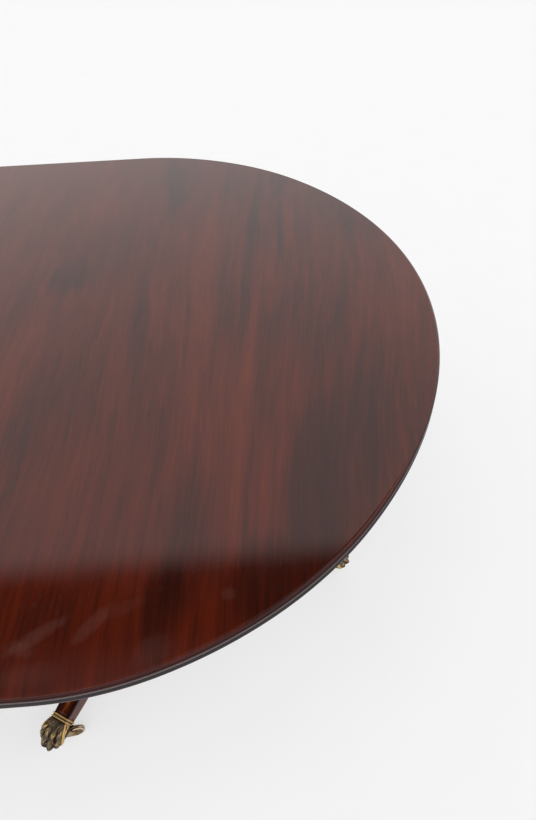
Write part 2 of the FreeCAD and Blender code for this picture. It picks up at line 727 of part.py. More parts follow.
def paw_cap():
    """A brass cap on the leg's end: a beaded sleeve, a lion's paw of four toes and a flat sole."""
    half_width, half_depth = LEG_FOOT_WIDTH / 2, LEG_FOOT_DEPTH / 2
    sleeve = along_leg_end(bar_along_leg(0, SLEEVE_LENGTH, half_width, half_depth))
    beads = [
        along_leg_end(rounded_bar(
            i * COLLAR_BEAD_PITCH, COLLAR_BEAD_WIDTH,
            half_width + COLLAR_BEAD_PROUD, half_depth + COLLAR_BEAD_PROUD, COLLAR_BEAD_ROUND,
        ))
        for i in range(2)
    ]
    wrist_shape = (half_width - PAW_WRIST_INSET, half_depth - PAW_WRIST_DROP, PAW_WRIST_BEVEL)
    back = paw_section(-PAW_BACK, *wrist_shape)
    wrist = paw_section(PAW_WRIST_REACH, *wrist_shape)
    brow = paw_section(PAW_BROW_REACH, PAW_BROW_HALF_WIDTH, PAW_BROW_RISE, PAW_BROW_BEVEL)
    front_rise = SOLE_HEIGHT + PAW_FRONT_RISE - FOOT_HEIGHT
    front = paw_section(PAW_FRONT_REACH, PAW_FRONT_HALF_WIDTH, front_rise, PAW_FRONT_BEVEL)
    core = Part.makeLoft([back, wrist, brow, front], True)
    body = fused([sleeve, core] + beads + [toe(spread) for spread in TOE_SPREADS])
    pocket_length = LEG_TENON_LENGTH + CAP_WALL + CAP_CLEARANCE
    pocket_half_sizes = [half + CAP_CLEARANCE for half in tenon_half_sizes()]
    pocket = along_leg_end(bar_along_leg(-CAP_WALL, pocket_length, *pocket_half_sizes))
    shoulder = along_leg_end(bar_along_leg(-4 * CAP_WALL, 4 * CAP_WALL, 2 * half_width, 2 * half_depth))
    below_sole = box(V(0, -TABLE_WIDTH, -TABLE_HEIGHT), V(2 * FOOT_RADIUS, TABLE_WIDTH, SOLE_HEIGHT))
    pin = Part.makeCylinder(
        SWIVEL_PIN_RADIUS + RUNNING_CLEARANCE,
        SWIVEL_PIN_LENGTH - SWIVEL_GAP + SWIVEL_PIN_SPARE,
        V(SWIVEL_RADIUS, 0, SOLE_HEIGHT),
    )
    return body.cut(shoulder).cut(pocket).cut(below_sole).cut(pin)


# Castors

def castor_horn():
    """The swivelling horn, trailing along +X from its pin at the origin, with its riveted axle."""
    inner = HUB_WIDTH / 2 + HORN_SIDE_GAP
    outer = inner + HORN_CHEEK
    eye = (CASTOR_TRAIL, WHEEL_RADIUS)
    eye_top, eye_end, eye_low = (polar(eye, HORN_EYE_RADIUS, angle) for angle in (60, 0, -90))
    cheek = face_in_xz([
        line((-HORN_BACK, HORN_BOSS_LOW), (-HORN_BACK, HORN_TOP)),
        line((-HORN_BACK, HORN_TOP), (HORN_BACK, HORN_TOP)),
        line((HORN_BACK, HORN_TOP), eye_top),
        arc(eye_top, eye_end, eye_low),
        line(eye_low, (-HORN_BACK, HORN_BOSS_LOW)),
    ]).extrude(V(0, HORN_CHEEK, 0))
    bridge = box(V(-HORN_BACK, -outer, HORN_TOP - HORN_BRIDGE_HEIGHT), V(HORN_BACK, outer, HORN_TOP))
    boss = Part.makeCylinder(HORN_BOSS_RADIUS, HORN_TOP - HORN_BOSS_LOW, V(0, 0, HORN_BOSS_LOW))
    pin = Part.makeCylinder(SWIVEL_PIN_RADIUS, SWIVEL_PIN_LENGTH, V(0, 0, HORN_TOP))
    body = fused([boss, bridge, pin, moved(cheek, y=inner), moved(cheek, y=-outer)])
    eye_hole = Part.makeCylinder(
        AXLE_RADIUS + HOLE_CLEARANCE, 2 * outer, V(CASTOR_TRAIL, -outer, WHEEL_RADIUS), V(0, 1, 0)
    )
    shaft = Part.makeCylinder(AXLE_RADIUS, 2 * outer, V(CASTOR_TRAIL, -outer, WHEEL_RADIUS), V(0, 1, 0))
    heads = [
        Part.makeCylinder(
            AXLE_HEAD_RADIUS, AXLE_HEAD_HEIGHT, V(CASTOR_TRAIL, side * outer, WHEEL_RADIUS), V(0, side, 0)
        )
        for side in (-1, 1)
    ]
    return [body.cut(eye_hole), fused([shaft] + heads)]


def castor_wheel():
    """A brass wheel with a rounded tread and a hub, on the axle of a horn at the origin."""
    half, hub = WHEEL_WIDTH / 2, HUB_WIDTH / 2
    bore = AXLE_RADIUS + RUNNING_CLEARANCE
    shoulder = (WHEEL_RADIUS - WHEEL_ROUND, half - WHEEL_ROUND)
    low_shoulder = (shoulder[0], -shoulder[1])
    edges = [
        line((bore, -hub), (HUB_RADIUS, -hub)),
        line((HUB_RADIUS, -hub), (HUB_RADIUS, -half)),
        line((HUB_RADIUS, -half), (shoulder[0], -half)),
        arc((shoulder[0], -half), polar(low_shoulder, WHEEL_ROUND, -45), (WHEEL_RADIUS, -shoulder[1])),
        line((WHEEL_RADIUS, -shoulder[1]), (WHEEL_RADIUS, shoulder[1])),
        arc((WHEEL_RADIUS, shoulder[1]), polar(shoulder, WHEEL_ROUND, 45), (shoulder[0], half)),
        line((shoulder[0], half), (HUB_RADIUS, half)),
        line((HUB_RADIUS, half), (HUB_RADIUS, hub)),
        line((HUB_RADIUS, hub), (bore, hub)),
        line((bore, hub), (bore, -hub)),
    ]
    wheel = face_in_xz(edges).revolve(ORIGIN, UP, 360)
    wheel.rotate(ORIGIN, V(1, 0, 0), 90)
    return moved(wheel, CASTOR_TRAIL, 0, WHEEL_RADIUS)


def swivel_point(pedestal_x, leg_angle):
    """Where a castor's pin stands, above the floor."""
    angle = math.radians(leg_angle)
    return V(pedestal_x + SWIVEL_RADIUS * math.cos(angle), SWIVEL_RADIUS * math.sin(angle), 0)


# Nodes

def placed(shapes, pedestal_x, angles):
    """Copies of each shape for each leg of a pedestal."""
    return [moved(turned(shape, angle), x=pedestal_x) for angle in angles for shape in shapes]


def pedestal_nodes(side, pedestal_x, angles, top, keepers, extra_screws):
    """The nodes of one section: its top, what carries it, and its legs and castors."""
    under_top = [moved(shape, x=pedestal_x) for shape in bearer_screws(HOLE_CLEARANCE)]
    keeper_holes = [hole for place in keepers for hole in keeper_screws(*place, HOLE_CLEARANCE)]
    screws = [moved(shape, x=pedestal_x) for shape in bearer_screws() + block_bolts()]
    nodes = {
        side + "_top": [drilled(top, under_top + keeper_holes)],
        side + "_block": [moved(block(), x=pedestal_x)],
        side + "_bearers": [moved(bar, x=pedestal_x) for bar in bearers()],
        side + "_column": [moved(column(angles), x=pedestal_x)],
        side + "_legs": placed([leg()], pedestal_x, angles),
        side + "_paw_caps": placed([paw_cap()], pedestal_x, angles),
        side + "_clip_keepers": [keeper(*place) for place in keepers],
        side + "_screws": screws + extra_screws,
    }
    return nodes


def castor_nodes(side, pedestal_x, angles):
    """A horn and a wheel for each leg, trailing at the same turn from their legs."""
    horn, wheel = castor_horn(), castor_wheel()
    nodes = {}
    for number, angle in enumerate(angles, 1):
        spot = swivel_point(pedestal_x, angle)
        trail = angle + CASTOR_TRAIL_TURN
        placed_horn = [moved(turned(shape, trail), spot.x, spot.y) for shape in horn]
        nodes[f"{side}_castor_horn_{number}"] = placed_horn
        nodes[f"{side}_castor_wheel_{number}"] = [moved(turned(wheel, trail), spot.x, spot.y)]
    return nodes


def leaf_nodes():
    """The east leaf with its pegs, clip guides, their screws and the clips."""
    pegs = leaf_pegs()
    places = leaf_keeper_places()
    holes = [hole for place in places for hole in keeper_screws(*place, HOLE_CLEARANCE)]
    nodes = {
        "east_leaf": [drilled(straight_top(LEAF_START, LEAF_LENGTH), pegs + holes)],
        "east_leaf_pegs": pegs,
        "east_leaf_clip_guides": [keeper(*place) for place in places],
        "east_leaf_screws": [screw for place in places for screw in keeper_screws(*place)],
    }
    for joint_name, (joint_x, _) in clip_joints().items():
        for side_name, side in (("back", 1), ("front", -1)):
            nodes[f"east_{joint_name}_clip_{side_name}"] = [clip(joint_x, side)]
    return nodes


def west_name(name):
    """The west twin's name: the half turn also swaps front and back."""
    swapped = name.replace("front", "other").replace("back", "front").replace("other", "back")
    return swapped.replace("east", "west")


def all_nodes():
    """Every node's solids by name."""
    end_keepers = catch_places("outer")
    centre_east = catch_places("inner")
    centre_west = [(-x, near_y, -side) for x, near_y, side in centre_east]
    end_top = drilled(end_top_board(), peg_sockets(END_START, 1))
    centre_holes = peg_sockets(CENTRE_LENGTH / 2, -1) + peg_sockets(-CENTRE_LENGTH / 2, 1)
    centre_top = drilled(straight_top(-CENTRE_LENGTH / 2, CENTRE_LENGTH), centre_holes)
    end_screws = [screw for place in end_keepers for screw in keeper_screws(*place)]
    centre_keepers = centre_east + centre_west
    centre_screws = [screw for place in centre_keepers for screw in keeper_screws(*place)]
    east = pedestal_nodes("east_end", END_PEDESTAL_X, END_LEG_ANGLES, end_top, end_keepers, end_screws)
    east.update(leaf_nodes())
    nodes = dict(east)
    for name, solids in east.items():
        nodes[west_name(name)] = [turned(solid, 180) for solid in solids]
    nodes.update(
        pedestal_nodes("centre", 0.0, CENTRE_LEG_ANGLES, centre_top, centre_keepers, centre_screws)
    )
    west_angles = [angle + 180 for angle in END_LEG_ANGLES]
    nodes.update(castor_nodes("east", END_PEDESTAL_X, END_LEG_ANGLES))
    nodes.update(castor_nodes("centre", 0.0, CENTRE_LEG_ANGLES))
    nodes.update(castor_nodes("west", -END_PEDESTAL_X, west_angles))
    return nodes


def main():
    """Writes one STEP file per node."""
    os.makedirs("parts", exist_ok=True)
    for name, solids in all_nodes().items():
        shape = solids[0] if len(solids) == 1 else Part.makeCompound(solids)
        shape.exportStep(f"parts/{name}.step")


main()
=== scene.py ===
"""Looks of the triple pedestal dining table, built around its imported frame."""

import math

import bpy
import numpy as np
from mathutils import Matrix, Vector

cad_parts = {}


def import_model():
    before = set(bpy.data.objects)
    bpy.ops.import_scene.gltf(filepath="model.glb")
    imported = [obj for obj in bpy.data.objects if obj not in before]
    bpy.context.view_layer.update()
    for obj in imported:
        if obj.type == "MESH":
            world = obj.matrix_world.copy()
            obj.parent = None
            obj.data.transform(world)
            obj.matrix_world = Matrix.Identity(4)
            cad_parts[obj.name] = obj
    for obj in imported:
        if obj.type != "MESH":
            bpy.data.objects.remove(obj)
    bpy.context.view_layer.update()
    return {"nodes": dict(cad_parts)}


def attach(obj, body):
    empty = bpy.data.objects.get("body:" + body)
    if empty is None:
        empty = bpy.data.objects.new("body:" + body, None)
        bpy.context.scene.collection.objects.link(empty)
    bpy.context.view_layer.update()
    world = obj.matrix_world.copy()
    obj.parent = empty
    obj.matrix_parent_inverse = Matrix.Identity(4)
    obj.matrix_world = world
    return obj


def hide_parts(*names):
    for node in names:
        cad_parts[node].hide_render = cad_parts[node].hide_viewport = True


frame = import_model()
SCENE = bpy.context.scene
NODES = frame["nodes"]

# Sections and their edges, in metres and degrees
END_PEDESTAL_X = 1.4131
CENTRE_STOP = 0.4575
LEAF_START = 0.4578
LEAF_STOP = 1.0178
END_START = 1.0181
CURVE_START = 1.4301
HALF_WIDTH = 0.560
TABLE_HEIGHT = 0.760
TOP_THICKNESS = 0.0175
REED_RADIUS = TOP_THICKNESS / 4
REED_GROOVE = 0.0023
REED_STEPS = 22
EDGE_PROUD = 0.00006
EDGE_DEPTH = 0.002
EDGE_SHORT = 0.0002
END_ARC_STEPS = 48
END_SIDE_RADIUS = 0.360
END_SIDE_TURN = 18.0
END_CORNER_RADIUS = 0.460
END_CORNER_TURN = 30.0
SECTIONS = {
    "east_end": (END_PEDESTAL_X, (0.0, 120.0, 240.0)),
    "centre": (0.0, (45.0, 135.0, 225.0, 315.0)),
    "west_end": (-END_PEDESTAL_X, (180.0, 300.0, 60.0)),
}
CASTOR_SIDES = {"east_end": "east", "centre": "centre", "west_end": "west"}

# Legs, paws and castors, in metres and radians
FOOT_RADIUS = 0.357
FOOT_HEIGHT = 0.0555
LEG_ROOT_RADIUS = 0.040
LEG_KNEE_RADIUS = 0.170
LEG_ROOT_ANGLE = math.radians(-18.0)
LEG_SLOPE_ANGLE = math.radians(-58.0)
LEG_FOOT_ANGLE = math.radians(-10.0)
LEG_WIDTHS = (0.048, 0.033)
LEG_DEPTHS = (0.092, 0.030)
LEG_EDGE_BEAD = 0.0065
LEG_CHANNEL_DEPTH = 0.002
LEG_ARRIS = 0.0013
LEG_STATIONS = 72
LEG_GRAIN_ANGLE = math.radians(-36.0)
LEG_RUBBED_SHARE = 0.20
LEG_RUBBED_FADE = 6.0
BEAD_FLATNESS = 0.55
DRUM_RADIUS = 0.0602
SOLE_HEIGHT = 0.039
SWIVEL_RADIUS = 0.378
CASTOR_TRAIL = 0.027
CASTOR_TRAIL_TURN = math.radians(135.0)
WHEEL_RADIUS = 0.015
WHEEL_STEPS = 72


# Node building

def add(tree, kind, inputs=None, **settings):
    """Adds a node. inputs maps socket names or numbers to values or to sockets to link."""
    node = tree.nodes.new(kind)
    for name, value in settings.items():
        setattr(node, name, value)
    for key, value in (inputs or {}).items():
        if isinstance(value, bpy.types.NodeSocket):
            tree.links.new(value, node.inputs[key])
        else:
            node.inputs[key].default_value = value
    return node


def calc(tree, operation, *values):
    """The output of a maths node on sockets or numbers."""
    return add(tree, "ShaderNodeMath", dict(enumerate(values)), operation=operation).outputs[0]


def noise(tree, vector, scale, detail=2.0, roughness=0.5):
    """The value of a noise texture."""
    inputs = {"Vector": vector, "Scale": scale, "Detail": detail, "Roughness": roughness}
    return add(tree, "ShaderNodeTexNoise", inputs).outputs[0]


def ease(tree, value, low, high, to_low=0.0, to_high=1.0):
    """A smooth step of value between low and high."""
    inputs = {0: value, 1: low, 2: high, 3: to_low, 4: to_high}
    return add(tree, "ShaderNodeMapRange", inputs, interpolation_type="SMOOTHSTEP").outputs[0]


def band(tree, value, rise, fall):
    """1 between two smooth edges, each given as (low, high)."""
    return calc(tree, "MULTIPLY", ease(tree, value, *rise), ease(tree, value, *fall, 1.0, 0.0))


def far_out(tree, first, first_half, second, second_half):
    """The squared distance from the middle of an ellipse, 1 at its edge."""
    squares = [
        calc(tree, "POWER", calc(tree, "DIVIDE", value, half), 2.0)
        for value, half in ((first, first_half), (second, second_half))
    ]
    return calc(tree, "ADD", *squares)


def ramp(tree, value, stops):
    """A colour from value through (position, colour) stops."""
    node = add(tree, "ShaderNodeValToRGB", {0: value})
    elements = node.color_ramp.elements
    while len(elements) < len(stops):
        elements.new(0.5)
    for element, (position, colour) in zip(elements, stops):
        element.position = position
        element.color = (*colour, 1.0)
    return node.outputs[0]


def blend_colour(tree, factor, first, second):
    """A mix of two colours."""
    node = add(tree, "ShaderNodeMix", data_type="RGBA")
    for socket, value in zip((node.inputs[0], node.inputs[6], node.inputs[7]), (factor, first, second)):
        if isinstance(value, bpy.types.NodeSocket):
            tree.links.new(value, socket)
        else:
            socket.default_value = value if socket.type == "VALUE" else (*value, 1.0)
    return node.outputs[2]


def combine(tree, x, y, z):
    """A vector from three sockets or numbers."""
    return add(tree, "ShaderNodeCombineXYZ", {0: x, 1: y, 2: z}).outputs[0]


def new_material(name):
    """An empty node material and its tree."""
    material = bpy.data.materials.new(name)
    material.use_nodes = True
    material.node_tree.nodes.clear()
    return material, material.node_tree


def close_material(tree, inputs, height, bump_distance):
    """A principled surface with a bump from height, linked to the output."""
    bump = add(tree, "ShaderNodeBump", {"Strength": 1.0, "Distance": bump_distance, "Height": height})
    shader = add(tree, "ShaderNodeBsdfPrincipled", {**inputs, "Normal": bump.outputs[0]})
    add(tree, "ShaderNodeOutputMaterial", {0: shader.outputs[0]})


def coordinates(tree, source):
    """Object coordinates, or a named vector of the mesh, split into x, y and z."""
    if source == "Object":
        vector = add(tree, "ShaderNodeTexCoord").outputs["Object"]
    else:
        vector = add(tree, "ShaderNodeAttribute", attribute_name=source).outputs["Vector"]
    return add(tree, "ShaderNodeSeparateXYZ", {0: vector}).outputs


# Materials

MAHOGANY_STOPS = (
    (0.00, (0.016, 0.0035, 0.0022)),
    (0.30, (0.040, 0.0060, 0.0028)),
    (0.55, (0.080, 0.0098, 0.0032)),
    (0.80, (0.120, 0.0160, 0.0042)),
    (1.00, (0.175, 0.0270, 0.0065)),
)
PORE_COLOUR = (0.012, 0.004, 0.003)
PORE_SHARE = 0.55
SMEAR_COLOUR = (0.125, 0.055, 0.045)
SMEAR_RAGGED = 1.2
SMEAR_REACH = 1.7
STREAK_REACH = 1.6
POLISH = (0.045, 0.085)
BARE_ROUGHNESS = 0.5
SHINE = 0.5
EDGE_SHINE_LOSS = -0.42
WOOD_IOR = 1.5
WOOD_BUMP = 0.00005
# How far a seed moves the figure across and along the grain
SEED_ACROSS = 3.7
SEED_ALONG = 1.9
# Bends of the grain: share of the length along it, noise scale and width
GRAIN_BENDS = ((0.7, 2.4, 0.035), (0.5, 9.0, 0.018))
# Layers of the figure: scales across and along the grain, and noise detail
BROAD_LAYER = (14.0, 2.0, 3.0)
MIDDLE_LAYER = (75.0, 5.5, 3.0)
FINE_LAYER = (330.0, 16.0, 2.0)
PORE_LAYER = (1500.0, 110.0, 1.0)
LAYER_WEIGHTS = (0.52, 0.56, 0.36, 0.38)
LAYER_ROUGHNESS = 0.55

# The grain of the photographed end leans more and more towards its tip
FAN_START = CURVE_START + 0.02
FAN_STOP = CURVE_START + 0.33
FAN_LEAN = 0.20
FAN_BACK_SHARE = 0.5


def fan_shift(x, y):
    """How far the leaning grain of the east end has moved along the table at a place on it."""
    share = min(max((x - FAN_START) / (FAN_STOP - FAN_START), 0.0), 1.0)
    return FAN_LEAN * share * share * (3.0 - 2.0 * share) * (y if y < 0.0 else FAN_BACK_SHARE * y)


def mahogany(name, grain, seed, source="Object", dull=0.0, streaks=(), smears=(), tint=None):
    """Mahogany with its grain along one axis of its coordinates.

    The grain leans where there are streaks. dull is added to the roughness of the polish. tint changes the colour
    and gives the shine and the share of bare wood.
    """
    material, tree = new_material(name)
    axes = coordinates(tree, source)
    order = {"X": (1, 0, 2), "Y": (0, 1, 2), "Z": (0, 2, 1)}[grain]
    across, along, deep = (axes[i] for i in order)
    if streaks:
        lean = ease(tree, across, FAN_START, FAN_STOP, 0.0, -FAN_LEAN)
        behind = calc(tree, "MULTIPLY", calc(tree, "MAXIMUM", along, 0.0), FAN_BACK_SHARE - 1.0)
        across = calc(tree, "MULTIPLY_ADD", lean, calc(tree, "ADD", along, behind), across)
    across = calc(tree, "ADD", across, SEED_ACROSS * seed)
    along = calc(tree, "ADD", along, SEED_ALONG * seed)
    bend = across
    for share, scale, width in GRAIN_BENDS:
        sway = noise(tree, combine(tree, across, calc(tree, "MULTIPLY", along, share), deep), scale)
        bend = calc(tree, "MULTIPLY_ADD", calc(tree, "SUBTRACT", sway, 0.5), width, bend)

    def grain_noise(across_scale, along_scale, detail):
        vector = combine(
            tree, calc(tree, "MULTIPLY", bend, across_scale), calc(tree, "MULTIPLY", along, along_scale),
            calc(tree, "MULTIPLY", deep, across_scale),
        )
        return calc(tree, "SUBTRACT", noise(tree, vector, 1.0, detail, LAYER_ROUGHNESS), 0.5)

    broad, middle, fine, pores = (
        grain_noise(*layer) for layer in (BROAD_LAYER, MIDDLE_LAYER, FINE_LAYER, PORE_LAYER)
    )
    cloud = calc(tree, "SUBTRACT", noise(tree, combine(tree, across, along, deep), 3.1, 3.0), 0.5)
    value = 0.5
    for part, weight in zip((broad, middle, fine, cloud), LAYER_WEIGHTS):
        value = calc(tree, "MULTIPLY_ADD", part, weight, value)
    for x, y, half_width, half_length, depth in streaks:
        offset = calc(tree, "SUBTRACT", bend, x - fan_shift(x, y) + SEED_ACROSS * seed)
        run = calc(tree, "SUBTRACT", along, y + SEED_ALONG * seed)
        far = far_out(tree, offset, half_width, run, half_length)
        value = calc(tree, "MULTIPLY_ADD", ease(tree, far, 0.0, STREAK_REACH, 1.0, 0.0), -depth, value)
    colour = ramp(tree, value, MAHOGANY_STOPS)
    pore = ease(tree, pores, 0.16, 0.27)
    colour = blend_colour(tree, calc(tree, "MULTIPLY", pore, PORE_SHARE), colour, PORE_COLOUR)
    ragged = calc(tree, "SUBTRACT", noise(tree, combine(tree, axes[0], axes[1], 0.0), 120.0, 2.0), 0.5)
    for x, y, half_length, half_width, angle, strength in smears:
        c, s = math.cos(math.radians(angle)), math.sin(math.radians(angle))
        east, north = calc(tree, "SUBTRACT", axes[0], x), calc(tree, "SUBTRACT", axes[1], y)
        run = calc(tree, "ADD", calc(tree, "MULTIPLY", east, c), calc(tree, "MULTIPLY", north, s))
        offset = calc(tree, "SUBTRACT", calc(tree, "MULTIPLY", north, c), calc(tree, "MULTIPLY", east, s))
        far = far_out(tree, offset, half_width, run, half_length)
        frayed = calc(tree, "MULTIPLY_ADD", ragged, SMEAR_RAGGED, far)
        colour = blend_colour(tree, ease(tree, frayed, 0.0, SMEAR_REACH, strength, 0.0), colour, SMEAR_COLOUR)
    shine, bare = SHINE, None
    if tint is not None:
        colour, shine, bare = tint(tree, colour, axes)
    polish = noise(tree, combine(tree, *axes), 21.0, 3.0)
    rough = ease(tree, polish, 0.3, 0.75, dull + POLISH[0], dull + POLISH[1])
    if bare is not None:
        rough = calc(tree, "MULTIPLY_ADD", bare, BARE_ROUGHNESS, rough)
    height = calc(tree, "MULTIPLY_ADD", pore, -0.35, calc(tree, "MULTIPLY", fine, 0.12))
    inputs = {"Base Color": colour, "Roughness": rough, "IOR": WOOD_IOR, "Specular IOR Level": shine}
    close_material(tree, inputs, height, WOOD_BUMP)
    return material


RUBBED_COLOUR = (0.30, 0.075, 0.014)
LEG_EDGE_COLOUR = (0.008, 0.004, 0.004)
LEG_EDGE_SHARE = 0.85
BARE_COLOUR = (0.125, 0.052, 0.030)
BARE_SHARE = 0.55
# Levels on the rim go from 0 at the underside to 1 between the reeds and 2 at the top
# Painted shade: the reeds below the top are darkened
RIM_SHADE_COLOUR = (0.020, 0.0045, 0.0055)
RIM_SHADE_SHARE = 0.75
# Painted highlight: a light line near the upper reed's crest
UPPER_HIGHLIGHT = ((1.775, 1.80), (1.83, 1.86))
UPPER_HIGHLIGHT_COLOUR = (0.075, 0.056, 0.053)
UPPER_HIGHLIGHT_SHARE = 0.45
# Painted reflection: a dim grey band on the lower reed
GREY_REFLECTION_BAND = ((0.50, 0.60), (0.89, 0.95))
GREY_REFLECTION_COLOUR = (0.034, 0.030, 0.032)
# Painted highlight: a light line near the lower reed's crest
LOWER_HIGHLIGHT = ((0.83, 0.88), (0.93, 0.97))
LOWER_HIGHLIGHT_COLOUR = (0.170, 0.144, 0.141)
# Painted shade: the foot of the lower reed is darkened
FOOT_SHADE_COLOUR = (0.008, 0.005, 0.007)
FOOT_SHADE_SHARE = 0.85


def leg_tint(tree, colour, axes):
    """The leg's sunk face is rubbed to orange along its middle, and its edges are nearly black."""
    patchy = noise(tree, combine(tree, calc(tree, "MULTIPLY", axes[0], 0.25), axes[1], axes[2]), 160.0, 3.0)
    channel = add(tree, "ShaderNodeAttribute", attribute_name="channel").outputs["Fac"]
    shown = calc(tree, "MULTIPLY", channel, ease(tree, patchy, 0.35, 0.62, 0.25, 1.0))
    rubbed = blend_colour(tree, shown, colour, RUBBED_COLOUR)
    edge = add(tree, "ShaderNodeAttribute", attribute_name="edge").outputs["Fac"]
    colour = blend_colour(tree, calc(tree, "MULTIPLY", edge, LEG_EDGE_SHARE), rubbed, LEG_EDGE_COLOUR)
    return colour, calc(tree, "MULTIPLY_ADD", edge, EDGE_SHINE_LOSS, SHINE), None


def rim_tint(tree, colour, axes):
    """The reeds are duller than the top and painted darker as shade, with a painted highlight near the crest of
    each reed, a painted grey reflection on the lower reed, and painted shade at its foot.

    The underside is bare wood.
    """
    bare_wood = blend_colour(tree, BARE_SHARE, colour, BARE_COLOUR)
    level = calc(tree, "DIVIDE", calc(tree, "SUBTRACT", axes[2], TABLE_HEIGHT - TOP_THICKNESS), TOP_THICKNESS / 2)
    below_top = ease(tree, level, 1.84, 1.97, 1.0, 0.0)
    # Painted shade: the reeds below the top are darkened
    colour = blend_colour(tree, calc(tree, "MULTIPLY", below_top, RIM_SHADE_SHARE), colour, RIM_SHADE_COLOUR)
    # Painted highlight: a light line near the upper reed's crest
    upper = calc(tree, "MULTIPLY", band(tree, level, *UPPER_HIGHLIGHT), UPPER_HIGHLIGHT_SHARE)
    colour = blend_colour(tree, upper, colour, UPPER_HIGHLIGHT_COLOUR)
    # Painted reflection: a dim grey band on the lower reed
    colour = blend_colour(tree, band(tree, level, *GREY_REFLECTION_BAND), colour, GREY_REFLECTION_COLOUR)
    # Painted highlight: a light line near the lower reed's crest
    colour = blend_colour(tree, band(tree, level, *LOWER_HIGHLIGHT), colour, LOWER_HIGHLIGHT_COLOUR)
    # Painted shade: the foot of the lower reed is darkened
    colour = blend_colour(tree, ease(tree, level, 0.42, 0.52, FOOT_SHADE_SHARE, 0.0), colour, FOOT_SHADE_COLOUR)
    bare = ease(tree, level, 0.01, 0.05, 1.0, 0.0)
    colour = blend_colour(tree, bare, colour, bare_wood)
    return colour, calc(tree, "MULTIPLY_ADD", below_top, EDGE_SHINE_LOSS, SHINE), bare


def peg_wood():
    """Plain pale hardwood of the pegs."""
    material, tree = new_material("peg_wood")
    x, y, z = coordinates(tree, "Object")
    lines = noise(tree, combine(tree, calc(tree, "MULTIPLY", x, 0.05), y, z), 900.0, 3.0)
    colour = ramp(tree, lines, ((0.3, (0.20, 0.105, 0.045)), (0.7, (0.36, 0.21, 0.10))))
    inputs = {"Base Color": colour, "Roughness": ease(tree, lines, 0.3, 0.7, 0.42, 0.6)}
    close_material(tree, inputs, lines, 0.0001)
    return material


BRASS_STAIN_SCALE = 90.0
BRASS_SPECK_SCALE = 810.0


def brass(name, bright, dull, dark, rough):
    """Handled brass: polished where it is rubbed, brown in the hollows."""
    material, tree = new_material(name)
    vector = combine(tree, *coordinates(tree, "Object"))
    stain = noise(tree, vector, BRASS_STAIN_SCALE, 4.0, 0.6)
    specks = noise(tree, vector, BRASS_SPECK_SCALE)
    colour = ramp(tree, stain, ((0.32, dark), (0.47, dull), (0.66, bright)))
    colour = blend_colour(tree, ease(tree, specks, 0.60, 0.74, 0.0, 0.5), colour, dark)
    inputs = {
        "Base Color": colour,
        "Metallic": ease(tree, stain, 0.30, 0.42, 0.75, 1.0),
        "Roughness": ease(tree, stain, 0.35, 0.65, rough + 0.16, rough),
    }
    close_material(tree, inputs, calc(tree, "MULTIPLY_ADD", specks, 0.3, stain), 0.00012)
    return material


def relief_brass(name, gilt, bronze, pit):
    """Cast brass that has darkened in its hollows and stays gilt on what stands proud; on the paws the relief also
    carries painted shade behind the rear ridges.
    """
    material, tree = new_material(name)
    vector = combine(tree, *coordinates(tree, "Object"))
    relief = add(tree, "ShaderNodeAttribute", attribute_name="relief").outputs["Fac"]
    stain = noise(tree, vector, 160.0, 4.0, 0.6)
    grit = noise(tree, vector, 1400.0, 2.0)
    lift = calc(tree, "MULTIPLY_ADD", calc(tree, "SUBTRACT", stain, 0.5), 0.5, relief)
    lift = calc(tree, "MULTIPLY_ADD", calc(tree, "SUBTRACT", grit, 0.5), 0.16, lift)
    colour = ramp(tree, lift, ((0.10, pit), (0.45, bronze), (0.68, bronze), (0.90, gilt)))
    inputs = {
        "Base Color": colour,
        "Metallic": ease(tree, lift, 0.1, 0.8, 0.55, 1.0),
        "Roughness": ease(tree, lift, 0.2, 0.95, 0.55, 0.24),
    }
    close_material(tree, inputs, calc(tree, "MULTIPLY_ADD", grit, 0.5, stain), 0.0001)
    return material


def iron():
    """Dull dark iron of the screws and bolts."""
    material, tree = new_material("iron")
    vector = combine(tree, *coordinates(tree, "Object"))
    rust = noise(tree, vector, 260.0, 4.0, 0.65)
    stops = ((0.35, (0.022, 0.020, 0.019)), (0.55, (0.060, 0.050, 0.044)), (0.75, (0.12, 0.055, 0.03)))
    colour = ramp(tree, rust, stops)
    inputs = {"Base Color": colour, "Metallic": 0.85, "Roughness": ease(tree, rust, 0.3, 0.7, 0.42, 0.7)}
    close_material(tree, inputs, rust, 0.0002)
    return material


# Mesh building

def mesh_piece(name, vertices, faces, material, attributes=None, smooth=True, normals=None):
    """A mesh object from points and faces.

    attributes are floats or vectors on its points, and normals are exact normals there.
    """
    mesh = bpy.data.meshes.new(name)
    mesh.from_pydata([tuple(map(float, v)) for v in vertices], [], [tuple(map(int, f)) for f in faces])
    mesh.validate()
    for key, values in (attributes or {}).items():
        values = np.asarray(values, np.float32)
        if values.ndim == 2:
            mesh.attributes.new(key, "FLOAT_VECTOR", "POINT").data.foreach_set("vector", values.ravel())
        else:
            mesh.attributes.new(key, "FLOAT", "POINT").data.foreach_set("value", values)
    if smooth:
        mesh.shade_smooth()
    else:
        mesh.shade_flat()
    if normals is not None:
        mesh.normals_split_custom_set_from_vertices([tuple(map(float, n)) for n in normals])
    mesh.materials.append(material)
    piece = bpy.data.objects.new(name, mesh)
    SCENE.collection.objects.link(piece)
    return piece


def grid_faces(rows, columns, wrap=False):
    """Quads of a grid of points, row by row. wrap joins the last column to the first."""
    faces = []
    last = columns if wrap else columns - 1
    for r in range(rows - 1):
        for c in range(last):
            a, b = r * columns + c, r * columns + (c + 1) % columns
            faces.append((a, b, b + columns, a + columns))
    return faces


